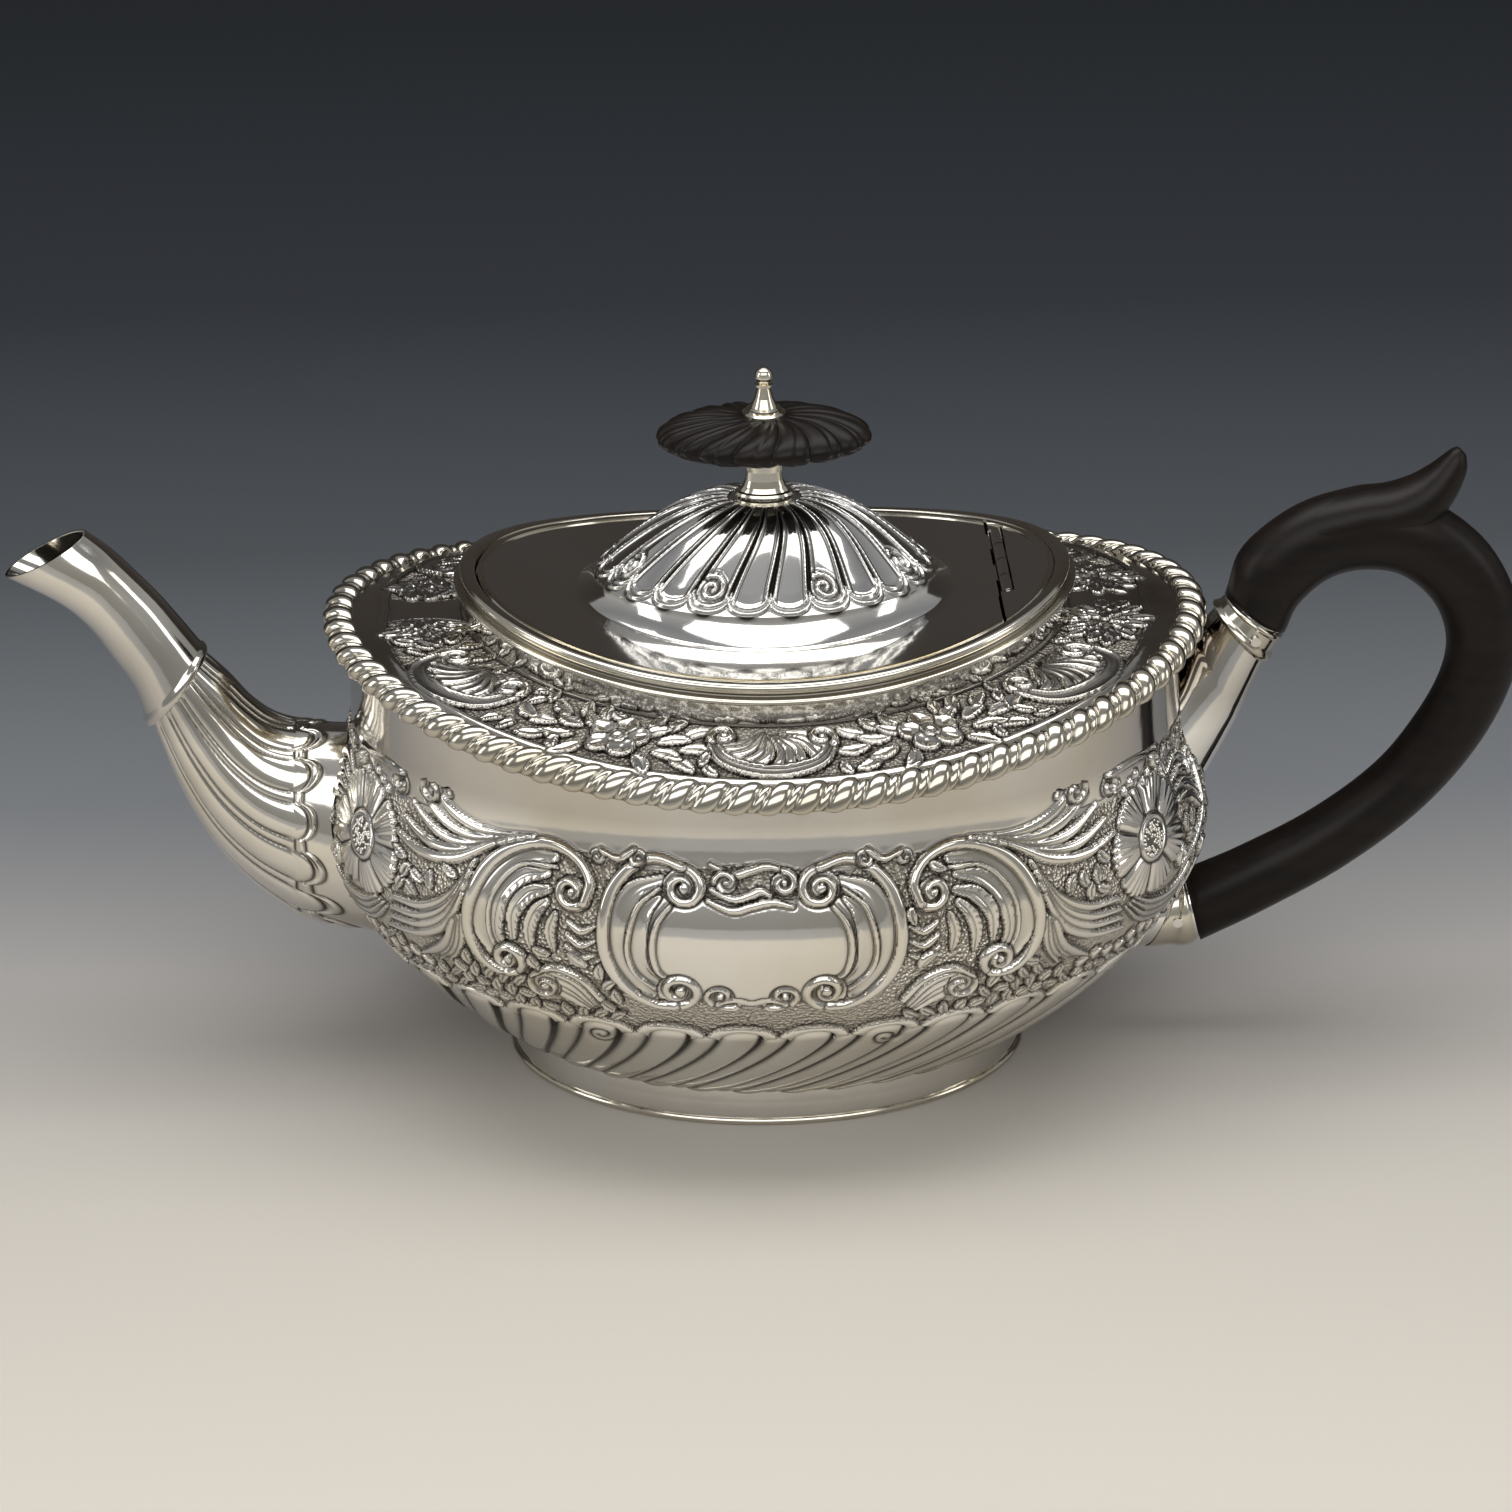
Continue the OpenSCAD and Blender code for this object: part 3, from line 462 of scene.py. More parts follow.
def scroll(sheet, points, first=None, last=None, half=0.8, height=0.8):
    """A rolled cord that swells in the middle and ends in volutes. first and last are the volutes'
    centre, turns and hand."""
    path = smooth_path(points)
    for end, start in ((first, path[0]), (last, path[-1])):
        if end:
            volute(sheet, end[0], start, end[1], end[2], half * 0.85, height)
    ridge(sheet, path, [half * 0.8, half, half * 1.15, half, half * 0.8], height, 0.12)


def fan(sheet, curve_a, curve_b, count, half, height):
    """Leaf ribs that spread from one curve to another, both with the same number of points."""
    a, b = smooth_path(curve_a, 7), smooth_path(curve_b, 7)
    for k in range(count):
        u = k / max(count - 1, 1)
        tall = height * (0.78 + 0.22 * (k % 2))
        ridge(sheet, a * (1 - u) + b * u, [half * 0.4, half, half * 1.15, half * 0.6], tall, 0.05, 0.75)


def frond(sheet, points, half):
    """A long feathered leaf: hollowed along its middle, with a vein and nicks along one edge."""
    path = smooth_path(points)
    widths = np.sin(np.linspace(0.12, 0.93, 9) * np.pi) ** 0.7 * half
    crescent(sheet, path, widths, 0.55, 0.3)
    groove(sheet, beside(path, -widths * 0.15), 0.16, 0.12, 0.7)
    for k in range(2, len(path) - 3, 3):
        run = path[k + 1] - path[k]
        out = np.array([-run[1], run[0]]) / (np.linalg.norm(run) + 1e-9)
        tip = path[k] + out * half * 0.95 + run * 1.5
        groove(sheet, np.array([tip - out * half * 0.45 - run, tip]), 0.16, 0.14, 0.8)


def blossom(sheet, x, y, radius, petals=7, eye=0.42):
    """An open flower: broad crinkled petals round an eye inside a raised ring."""
    spots = sheet.near(np.array([[x, y]]), radius * 1.3)
    u, v = sheet.s[spots] - x, sheet.t[spots] - y
    r, a = np.hypot(u, v) / radius, np.arctan2(v, u) + 0.4
    cleft = np.abs(np.cos(petals * a / 2))
    crease = np.cos(petals * 5 * a + 2.0 * np.sin(petals * a))
    edge = 0.90 + 0.16 * cleft ** 0.35 + 0.02 * crease
    q = r / edge
    leaf = 0.05 + 0.62 * cleft ** 0.5 + 0.10 * crease * np.clip((q - 0.45) * 3, 0, 1) - 0.9 * (q - 0.72) ** 2
    on = q < 1
    sheet.outline(spots, np.where(on, 9, (q - 1) * radius))
    shade = np.clip(1 - cleft * 5, 0, 1) + 0.45 * np.clip(-crease - 0.5, 0, 1)
    sheet.lay(on, leaf, np.clip(shade, 0, 1) * (r > eye), spots)
    sheet.h[spots] = np.where(r < eye, 0.15 + 0.5 * dome(r / eye), sheet.h[spots])
    sheet.darken(mark((r - eye) * radius, 0.30), spots)
    sheet.hollow[spots] = np.where(r < eye * 0.70, 0.8, sheet.hollow[spots])
    sheet.h[spots] += mark((r - eye * 0.84) * radius, 0.36) * 0.30


def bent(x, y, length, angle, bend):
    """A short path from a point, bent a little to the left."""
    along_x, along_y = math.cos(angle) * length, math.sin(angle) * length
    return smooth_path([(x, y), (x + along_x * 0.5 - along_y * bend, y + along_y * 0.5 + along_x * bend),
                        (x + along_x, y + along_y)], 6)


def leaflet(sheet, x, y, length, half, angle):
    """A small leaf with a vein."""
    path = bent(x, y, length, angle, 0.08)
    ridge(sheet, path, [half * 0.3, half, half * 0.9, half * 0.15], 0.6, 0.05)
    groove(sheet, path[1:-2], 0.14, 0.12, 0.7)


def lance(sheet, x, y, length, half, angle):
    """A pointed leaf with a raised edge and a vein."""
    path = bent(x, y, length, angle, 0.09)
    crescent(sheet, path, np.sin(np.linspace(0.12, 0.96, 9) * np.pi) ** 0.8 * half, 0.75, 0.35)
    groove(sheet, path[1:-2], 0.17, 0.2)


def fill_ground(sheet, low, high, pitch, seed):
    """Small leaves wherever the ground is still bare, between two corners."""
    chance = np.random.default_rng(seed)
    for row, y in enumerate(np.arange(low[1], high[1], pitch * 0.9)):
        for x in np.arange(low[0], high[0], pitch) + (row % 2) * pitch / 2:
            turned = chance.uniform(0.2, 2.9)
            for m in (-1, 1):
                middle = m * x + fill_shift
                spots = sheet.near(np.array([[middle, y]]), 1.1)
                if spots[0].size and sheet.matted[spots].min() > 0.5 and sheet.h[spots].max() < -0.2:
                    lean = turned if m > 0 else math.pi - turned
                    lance(sheet, middle - 1.2 * math.cos(lean), y - 1.2 * math.sin(lean), 2.9, 0.85, lean)


band_middle, flower_s, flower_t, fill_shift = -4.6, 80.2, 4.8, -2.3
flute_count, flute_line, flute_swirl, flute_turn, flute_broad = 32, -24.6, 0.42, -0.22, 0.60


def flutes(sheet, angle):
    """Swirled flutes, broad and narrow in turn, under a scalloped double edge."""
    down = np.clip((flute_line + 2 - sheet.t) / (flute_line + 2 - side_arc[0]), 0, 1)
    p = ((angle + flute_swirl * down ** 1.5) / full_turn * flute_count + flute_turn) % 1.0
    in_broad = p < flute_broad
    across, arch = lobes(p, flute_broad)
    top = flute_line + np.where(in_broad, 3.0 * arch, -1.0 + 1.8 * arch)
    reach = np.clip((top - sheet.t) / 2.2, 0, 1)
    deep = np.where(in_broad, 1.25, 0.80) * (1 - 0.35 * down ** 1.3)
    seam = mark(1 - np.abs(across), np.where(in_broad, 0.16, 0.34))
    # Painted shade: besides the oxide in the seams, one side of each broad flute is darkened.
    seam = np.maximum(seam, np.clip((across - 0.62) * 6, 0, 1) * in_broad) * (1 - 0.15 * down)
    sheet.lay(sheet.t < top, deep * arch ** 0.75 * dome(1 - reach) - 0.40,
              np.maximum(seam, mark(top - sheet.t, 0.34)))
    pair = (p - flute_broad / 2 + 0.5) % 1.0 * 2 - 1
    over = flute_line + 4.35 * np.sqrt(np.clip(1 - np.abs(pair) ** 2.2, 0, 1)) - 0.1
    middle = (sheet.t - top) / np.maximum(over - top, 0.05)
    sheet.lay((sheet.t > top) & (sheet.t < over), 0.05 + 0.75 * dome(2 * middle - 1),
              0.9 * mark(sheet.t - top, 0.3))
    sheet.darken(mark(sheet.t - over - 0.22, 0.26) * (sheet.t > over) * 0.9)


def curl_heads(sheet):
    """Curls on the heads of every fourth broad flute."""
    ring = body_a(np.array(28.0)) * round_arc
    for k in range(1, flute_count, 4):
        middle = (k + flute_broad / 2 - flute_turn) / flute_count * ring
        middle -= ring if middle > ring / 2 else 0
        curl = coil((middle, flute_line - 1.0), 3.0, 0.80, 0.4, -1.5 * full_turn, np.linspace(0, 1, 40))
        groove(sheet, curl, 0.42, 0.45, 1.0)


def chase_band(sheet):
    """The chased band: a plain cartouche in the middle, scrolls and leaves on both sides of it, and
    a flower at each end. x is measured from the middle of the cartouche."""
    x0 = band_middle
    x = np.abs(sheet.s - x0)
    rise = 13.0 + 0.9 * np.cos(x * 0.21) + np.clip(x - 52, 0, 60) * 0.13
    ground = (sheet.t > flute_line) & (sheet.t < rise)
    sheet.h = np.where(ground, -0.30, sheet.h)
    sheet.matted = np.where(ground, 1.0, sheet.matted)
    sheet.darken(mark(sheet.t - rise, 0.2) * 0.8)
    plate = (x < 19.5) & (sheet.t > -13.0) & (sheet.t < 7.5)
    sheet.lay(plate, 0.10 - 0.055 * (sheet.t + 2), sheet.hollow)
    for m in (-1, 1):
        def at(*points):
            return [(x0 + m * px, py) for px, py in points]

        def curl(px, py, turns, hand):
            return ((x0 + m * px, py), turns, m * hand)
        # cartouche: two hollowed bands between cords, with a volute at the top and the bottom
        crescent(sheet, smooth_path(at((15.6, 10.6), (20.4, 8.2), (23.6, 2.5), (23.9, -3.0), (22.0, -7.8),
                                       (17.6, -11.6))), [0.8, 1.7, 2.0, 2.0, 1.8, 0.9], 0.4, 0.5)
        crescent(sheet, smooth_path(at((16.2, 7.4), (19.0, 4.2), (20.2, -1.8), (19.4, -6.2), (16.4, -9.0))),
                 [0.5, 1.4, 1.7, 1.5, 0.6], 0.35, 0.45)
        ridge(sheet, smooth_path(at((16.0, 9.0), (20.0, 5.2), (21.8, -1.8), (20.6, -7.0), (16.6, -10.6))),
              [0.3, 0.42, 0.42, 0.3], 0.5, 0.25)
        ridge(sheet, smooth_path(at((14.0, 6.2), (16.6, 2.6), (17.4, -2.0), (16.6, -6.0), (14.6, -8.0))),
              [0.35, 0.5, 0.55, 0.5, 0.35], 0.6, 0.2)
        scroll(sheet, at((12.0, 13.0), (16.4, 14.3), (20.6, 12.6), (24.3, 8.2), (26.0, 2.6), (26.0, -3.0),
                         (24.2, -8.0), (20.6, -12.2), (16.6, -14.4), (13.4, -14.6)),
               curl(11.9, 9.3, 1.45, 1), curl(12.8, -10.7, 1.4, -1), 1.0, 0.9)
        # small scrolls over and under the cartouche
        scroll(sheet, at((20.4, 15.4), (23.0, 13.6), (26.2, 14.8)), curl(19.6, 14.0, 0.8, -1),
               curl(26.9, 13.6, 0.8, 1), 0.5, 0.6)
        scroll(sheet, at((1.8, -13.0), (3.0, -14.6), (6.0, -14.2)), None, curl(5.6, -11.6, 1.25, 1), 0.6, 0.7)
        # open scroll: cords and long leaves that follow it round, with a volute at both ends
        crescent(sheet, smooth_path(at((35.0, 12.4), (40.0, 11.6), (45.8, 7.8), (49.4, 1.8), (49.6, -4.0),
                                       (47.0, -8.4))), [0.9, 1.6, 1.9, 1.9, 1.6, 0.8], 0.4, 0.45)
        frond(sheet, at((36.4, 9.4), (41.0, 8.0), (45.2, 3.6), (46.6, -2.4), (45.0, -6.8)), 1.5)
        frond(sheet, at((36.2, 6.6), (40.0, 5.2), (43.0, 1.2), (43.2, -3.8)), 1.35)
        frond(sheet, at((36.6, 4.4), (38.8, 2.0), (40.0, -1.6), (39.6, -5.4)), 1.2)
        frond(sheet, at((35.0, 2.4), (36.0, -1.0), (35.4, -4.6)), 1.0)
        ridge(sheet, smooth_path(at((34.6, 10.6), (41.4, 9.9), (46.8, 4.2), (48.0, -2.0), (46.6, -6.6))),
              [0.25, 0.36, 0.36, 0.3], 0.5, 0.25)
        scroll(sheet, at((29.4, 5.2), (28.4, 9.0), (30.8, 12.9), (36.0, 14.6), (42.6, 12.8), (48.4, 8.2),
                         (52.0, 1.6), (52.4, -4.4), (50.0, -9.4), (45.6, -12.0), (42.8, -11.4)),
               curl(31.9, 6.8, 1.2, 1), curl(44.4, -8.4, 1.35, -1), 1.0, 0.9)
        # leaves between the cartouche and the open scroll, and the spray under them
        fan(sheet, at((27.6, 1.2), (30.2, -0.2), (32.6, 1.4)), at((27.8, -4.6), (30.4, -5.6), (33.0, -3.4)),
            3, 0.62, 0.55)
        leaflet(sheet, x0 + m * 29.4, -7.2, 4.2, 1.1, math.pi / 2 - m * 0.9)
        fan(sheet, at((27.6, -16.8), (32.0, -11.4), (37.6, -9.4)),
            at((28.8, -18.0), (33.6, -15.0), (38.2, -14.4)), 4, 0.7, 0.65)
        scroll(sheet, at((26.6, -15.0), (30.4, -10.2), (35.6, -8.6), (39.6, -11.2)), None,
               curl(37.2, -13.4, 1.2, -1), 0.6, 0.7)
        # long leaves that sweep from the open scroll to the flower
        fan(sheet, at((38.6, 15.4), (48.0, 14.2), (56.0, 16.0), (61.6, 20.6)),
            at((46.6, 12.6), (55.0, 8.2), (63.0, 7.2), (70.0, 8.8)), 5, 0.85, 0.7)
        fan(sheet, at((50.8, 8.8), (56.0, 1.6), (63.0, -2.6), (70.6, -3.4)),
            at((53.4, 2.4), (57.2, -4.6), (63.8, -9.0), (72.4, -10.6)), 4, 0.85, 0.7)
        fan(sheet, at((54.0, -1.6), (54.6, -8.0), (57.0, -13.4)),
            at((55.6, -3.2), (58.6, -9.8), (64.0, -14.4)), 4, 0.8, 0.65)
        scroll(sheet, at((56.6, 18.6), (59.0, 21.6), (62.6, 20.6)), None, curl(61.0, 18.6, 1.1, -1), 0.6, 0.7)
        # flower, with leaves and berries round it
        blossom(sheet, x0 + m * flower_s, flower_t, 10.2)
        fan(sheet, at((73.0, -6.4), (78.0, -11.4), (86.0, -13.4), (94.0, -11.2)),
            at((76.0, -5.4), (81.6, -8.2), (88.6, -9.0), (95.0, -5.8)), 4, 0.8, 0.65)
        fan(sheet, at((88.0, 12.6), (94.0, 14.0), (100.0, 10.6)), at((90.8, 7.4), (96.0, 6.6), (101.6, 2.4)),
            4, 0.8, 0.7)
        scroll(sheet, at((90.4, -4.6), (96.0, -2.4), (101.6, 3.0), (102.2, 10.4)), curl(91.4, -2.2, 1.0, -1),
               curl(99.6, 10.6, 1.1, 1), 0.75, 0.75)
        scroll(sheet, at((105.6, -9.4), (99.6, -14.4), (92.0, -17.6)), curl(104.6, -6.6, 1.2, -1),
               curl(91.4, -14.8, 1.0, -1), 0.75, 0.75)
        for k in range(7):
            berry = dot(x0 + m * (70.0 + 1.9 * k), 15.6 + 1.1 * math.sin(k * 2.1))
            ridge(sheet, berry, 0.85, 0.55, 0.05, 0.8)
        scroll(sheet, at((69.0, 19.0), (76.0, 19.4), (84.0, 19.0)), curl(69.4, 17.0, 1.0, -1),
               curl(84.6, 17.0, 1.0, 1), 0.6, 0.7)
        for k in range(9):
            leaflet(sheet, x0 + m * (62.0 + 3.4 * k), -17.2 + 0.9 * math.sin(k * 1.7), 3.2, 0.9,
                    math.pi / 2 - m * (0.9 - 0.1 * k))
    # waves and small curls between the tops of the two cartouche volutes
    for rise, left, right in ((6.3, -7.6, 7.2), (8.3, -7.0, 3.2), (12.6, -6.8, 5.8)):
        wave = [(x0 + left, rise + 1.0), (x0 + left * 0.45, rise - 0.7), (x0, rise + 0.1),
                (x0 + right * 0.5, rise + 0.8), (x0 + right, rise)]
        ridge(sheet, smooth_path(wave), [0.4, 0.7, 0.7, 0.4], 0.6)
    volute(sheet, (x0 + 5.6, 10.4), (x0 + 5.8, 12.6), 1.15, -1, 0.6, 0.7)
    volute(sheet, (x0 - 4.4, 10.6), (x0 - 6.4, 10.6), 0.9, -1, 0.5, 0.6)
    ridge(sheet, smooth_path([(x0 - 6.0, -13.6), (x0 - 2.8, -12.6), (x0, -13.3), (x0 + 2.8, -12.6),
                              (x0 + 6.0, -13.6)]), [0.3, 0.8, 0.8, 0.3], 0.5, 0.1)
    fill_ground(sheet, (26.0, -19.5), (104.0, 17.0), 3.1, 5)


def soften(values, reach):
    """Box blur, done twice, closed round the columns."""
    rows, span = len(values), 2 * reach + 1
    for _ in range(2):
        values = sum(np.roll(values, k - reach, 1) for k in range(span)) / span
        padded = np.pad(values, ((reach, reach), (0, 0)), "edge")
        values = sum(padded[k:k + rows] for k in range(span)) / span
    return values


def darken_hollows(sheet, depth, reach):
    """Oxide also stays wherever the relief lies lower than what is round it."""
    low = soften(sheet.h, reach) - sheet.h
    sheet.hollow = np.clip(np.maximum(sheet.hollow, low / depth), 0, 1)


def arch_z(y):
    """Height of the arch that carries the shoulder and the rim."""
    return crown_z - arch_r + np.sqrt(arch_r ** 2 - y ** 2)


def body_ring(name, z_low, z_high, rows, columns, parts=1, first=0.0, flange=False, chased=True):
    """A ring of the bowl between two heights, with its relief, cut into equal parts round it."""
    rows, columns = rows // coarse, columns // coarse // parts * parts
    arc, theta, folded = round_columns(columns, first / belly_a)
    t = np.linspace(np.interp(z_low, side_z, side_arc), np.interp(z_high, side_z, side_arc), rows)
    z = np.interp(t, side_arc, side_z)
    a = body_a(z)
    t_grid = np.repeat(t[:, None], columns, 1)
    sheet = Sheet(a[:, None] * folded, t_grid)
    h = sheet.h
    if chased:
        chase_band(sheet)
        flutes(sheet, np.repeat((arc / round_arc * full_turn)[None, :], rows, 0))
        heads = Sheet(a[:, None] * np.where(arc > round_arc / 2, arc - round_arc, arc), t_grid)
        curl_heads(heads)
        sheet.h += heads.h
        sheet.darken(heads.hollow)
        darken_hollows(sheet, 0.75, 3)
        h = soften(sheet.h, 1) * 0.4 + sheet.h * 0.6
    slope = np.gradient(a, z)
    size = np.hypot(1, slope)
    out_r, out_z = (1 / size)[:, None], (-slope / size)[:, None]
    x = np.sin(theta) * (a[:, None] + h * out_r)
    y = -np.cos(theta) * (a[:, None] * plan + h * out_r)
    outer = np.stack([x, y, np.minimum(z[:, None] + h * out_z, arch_z(y) - sheet_t)], -1)
    zi = np.linspace(z_low, z_high, 6)
    ai = body_a(zi) - sheet_t * np.where(zi < thick_below, 1.25, 1.0)
    if flange:
        ai[0], ai[1], zi[1] = base_a - 6, body_a(np.array(z_low + 2.0)) - 1.6, z_low + sheet_t
    inner = oval(theta, ai[:, None], zi[:, None])
    inner[..., 2] = np.minimum(inner[..., 2], arch_z(inner[..., 1]) - sheet_t - 0.01)
    normals = grid_normals(outer)
    share = columns // parts
    for part in range(parts):
        pick = np.arange(part * share, (part + 1) * share + (parts > 1)) % columns
        shell(name if parts == 1 else f"{name}_{part + 1}", outer[:, pick], inner[:, pick], parts == 1,
              chased_silver, "pot", "body_bowl", normals[:, pick], sheet.hollow[:, pick],
              sheet.matted[:, pick])


def flower_grains():
    """Small raised grains scattered by a node tree over the eyes of the four flowers."""
    chance = np.random.default_rng(11)
    places = []
    for m, side in ((-1, -1), (-1, 1), (1, -1), (1, 1)):
        for _ in range(90):
            turned, reach = chance.uniform(0, full_turn), 3.0 * math.sqrt(chance.uniform(0, 1))
            z = np.interp(flower_t + reach * math.sin(turned), side_arc, side_z)
            a = float(body_a(z))
            arc = (band_middle + m * flower_s + reach * math.cos(turned)) / a % round_arc
            theta = np.interp(arc, oval_arc, oval_steps)
            sink = a + 0.45 + 0.25 * math.sqrt(1 - (reach / 3.1) ** 2)
            places.append((math.sin(theta) * sink, side * math.cos(theta) * (sink - a * (1 - plan)), z))
    mesh = bpy.data.meshes.new("flower_grains")
    mesh.from_pydata((np.array(places) * MM).tolist(), [], [])
    grains = bpy.data.objects.new("flower_grains", mesh)
    scene.collection.objects.link(grains)
    tree = bpy.data.node_groups.new("grains", "GeometryNodeTree")
    settings = {"Points": None, "Grain radius": 0.33 * MM, "Smallest": 0.7, "Seed": 4,
                "Metal": chased_silver}
    kinds = ("Geometry", "Float", "Float", "Int", "Material")
    for label, kind in zip(settings, kinds):
        tree.interface.new_socket(label, in_out="INPUT", socket_type="NodeSocket" + kind)
    tree.interface.new_socket("Grains", in_out="OUTPUT", socket_type="NodeSocketGeometry")
    add = node_adder(tree)
    entry = add("NodeGroupInput").outputs
    finer = 1 if coarse > 1 else 2
    ball = add("GeometryNodeMeshIcoSphere", {"Radius": entry["Grain radius"], "Subdivisions": finer})
    size = add("FunctionNodeRandomValue", {2: entry["Smallest"], "Seed": entry["Seed"]})
    spread = add("GeometryNodeInstanceOnPoints", {
        "Points": entry["Points"], "Instance": ball.outputs["Mesh"], "Scale": size.outputs[1]})
    real = add("GeometryNodeRealizeInstances", {"Geometry": spread.outputs["Instances"]})
    metal = add("GeometryNodeSetMaterial", {"Geometry": real.outputs["Geometry"], "Material": entry["Metal"]})
    add("NodeGroupOutput", {0: metal.outputs["Geometry"]})
    modifier = grains.modifiers.new("grains", "NODES")
    modifier.node_group = tree
    for item in tree.interface.items_tree:
        if item.in_out == "INPUT" and settings[item.name] is not None:
            modifier[item.identifier] = settings[item.name]
    made = bpy.data.meshes.new_from_object(grains.evaluated_get(bpy.context.evaluated_depsgraph_get()))
    grains.modifiers.remove(modifier)
    made.shade_smooth()
    grains.data = made
    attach(grains, "pot")


band_low, band_high, band_seam, thick_below = 26.0, 69.0, 24.5, 38.0
body_ring("bowl_flutes", foot_h, band_low, 60, 1440, flange=True)
body_ring("bowl_band", band_low, band_high, 180, 2000, 4, band_seam)
body_ring("bowl_neck", band_high, crown_z, 12, 720, chased=False)
flower_grains()


# ---- Shoulder --------------------------------------------------------------------------------
# The shoulder is an arched oval ring of sheet between the rim and the collar. It is chased with
# flowers, leaf sprays and shell scrolls on a matted ground, and is plain next to the rim.
collar_a, chart_a, plain_a = 54.3, 64.0, 73.4


def small_flower(sheet, x, y):
    """Five round petals round a ringed eye, with sprays of leaves on both sides."""
    for m in (-1, 1):
        for out, rise, turned, length in (
                (11.4, 3.0, 0.5, 4.8), (11.8, -0.6, 0.0, 5.4), (10.8, -3.9, -0.5, 4.6),
                (7.6, 3.8, 0.9, 4.4), (7.6, 0.8, 0.25, 5.0), (7.4, -2.2, -0.25, 5.0),
                (4.6, 4.2, 1.2, 3.6), (4.8, -4.3, -0.9, 4.6), (3.8, 1.8, 0.5, 5.0)):
            lance(sheet, x + m * out, y + rise * 0.9, length, 1.15, turned if m > 0 else math.pi - turned)
    for k in range(5):
        turned = full_turn * k / 5 + 0.3
        px, py = x + 3.3 * math.cos(turned), y + 3.0 * math.sin(turned)
        crescent(sheet, dot(px, py), 2.15, 0.95, 0.45)
        tip = (x + 4.8 * math.cos(turned), y + 4.4 * math.sin(turned))
        groove(sheet, [(px, py), tip], 0.24, 0.25)
    ridge(sheet, dot(x, y), 1.6, 0.85, 0.15, 1.0)
    crescent(sheet, dot(x, y), 0.85, 0.95, 0.5)


def shell_scroll(sheet, centre, ends, rim, ribs, half=1.35):
    """A hollowed C-band between volutes, with a shell of leaf ribs spread inside it."""
    centre = np.array(centre)
    path = smooth_path(rim)
    for tip in path[np.linspace(1, len(path) - 2, ribs).astype(int)]:
        inner = centre + (tip - centre) * 0.15
        bend = (inner + tip) / 2 + np.array([-(tip - inner)[1], (tip - inner)[0]]) * 0.18
        ridge(sheet, smooth_path([inner, bend, tip], 6), [0.3, 0.7, 0.8, 0.6], 0.6, 0.1)
    widths = half * np.sin(np.linspace(0.2, 0.8, 7) * np.pi)
    crescent(sheet, path, widths, 0.85, 0.5)
    for side in (-1, 1):
        ridge(sheet, beside(path, side * widths), 0.3, 0.3, 0.55)
    for (middle, turns, hand), start in zip(ends, (path[0], path[-1])):
        volute(sheet, middle, start, turns, hand, 0.7, 0.8)


def chase_shoulder(sheet):
    reach = np.abs(sheet.s)
    low = -6.3 + np.clip(reach - 60, 0, 40) * 0.11
    ground = (sheet.t > low) & (sheet.t < 7.2) & (reach < 85.5 - 0.06 * (sheet.t - 1) ** 2)
    sheet.h = np.where(ground, -0.30, 0.0)
    sheet.matted = np.where(ground, 1.0, 0.0)
    sheet.hollow = np.clip(mark(sheet.t - low, 0.26) + mark(sheet.t - 7.2, 0.26), 0, 1)
    sheet.h += mark(sheet.t - low + 0.6, 0.3) * 0.35
    for m in (-1, 1):
        for k in range(27):
            turned = 2.4 * k
            grow = 1.15 * math.sqrt(k + 0.5)
            x, y = 79.0 + grow * 1.1 * math.cos(turned), 1.6 + 0.70 * grow * math.sin(turned)
            lance(sheet, m * x, y, 3.2, 1.0, turned)
        small_flower(sheet, m * 27.8, 0.3)
        lance(sheet, m * 43.4, -0.6, 4.4, 1.2, math.pi / 2 - m * 1.1)
    shell_scroll(sheet, (-0.5, 6.0), (((-9.6, 4.2), 1.2, -1), ((8.8, 3.6), 1.2, 1)),
                 [(-11.6, 2.6), (-8.0, -2.4), (-0.5, -4.8), (6.8, -3.0), (10.6, 1.6)], 11, 1.1)
    shell_scroll(sheet, (-59.5, 5.6), (((-67.4, 2.4), 1.2, -1), ((-52.6, 3.0), 1.2, 1)),
                 [(-69.6, 1.2), (-66.6, -3.8), (-59.6, -5.4), (-52.4, -3.2), (-50.0, 2.4)], 11)
    shell_scroll(sheet, (57.5, 5.6), (((65.4, 2.4), 1.2, 1), ((50.2, 3.0), 1.2, -1)),
                 [(67.6, 1.2), (64.6, -3.8), (57.6, -5.4), (50.4, -3.2), (47.8, 2.4)], 11)
    fill_ground(sheet, (5.0, -4.8), (74.0, 6.4), 2.9, 3)


def shoulder_ring():
    rows, columns = 62 // coarse, 1440 // coarse
    _, theta, folded = round_columns(columns)
    a = np.linspace(neck_a, collar_a - sheet_t - 0.6, rows)[:, None]
    sheet = Sheet(chart_a * np.repeat(folded[None, :], rows, 0), np.repeat((chart_a - a) * 0.8, columns, 1))
    chase_shoulder(sheet)
    sheet.h *= 0.8
    darken_hollows(sheet, 0.5, 3)
    sheet.hollow = np.clip(sheet.hollow * 1.15 + 0.25 * (sheet.matted > 0.5), 0, 1)
    keep = np.clip(np.minimum(a - (collar_a - sheet_t), plain_a - a) / 0.8, 0, 1)
    h = (0.3 * soften(sheet.h, 1) + 0.7 * sheet.h) * keep
    outer = oval(theta, a, 0.0)
    y = outer[..., 1].copy()
    outer[..., 1] += h * y / arch_r
    outer[..., 2] = arch_z(y) + h * np.sqrt(1 - (y / arch_r) ** 2)
    inner = oval(theta, np.linspace(neck_a, collar_a - sheet_t - 0.6, 4)[:, None], 0.0)
    inner[..., 2] = arch_z(inner[..., 1]) - sheet_t
    shell("shoulder_chased", outer, inner, True, chased_silver, "pot", "shoulder", grid_normals(outer),
          sheet.hollow, sheet.matted)


shoulder_ring()


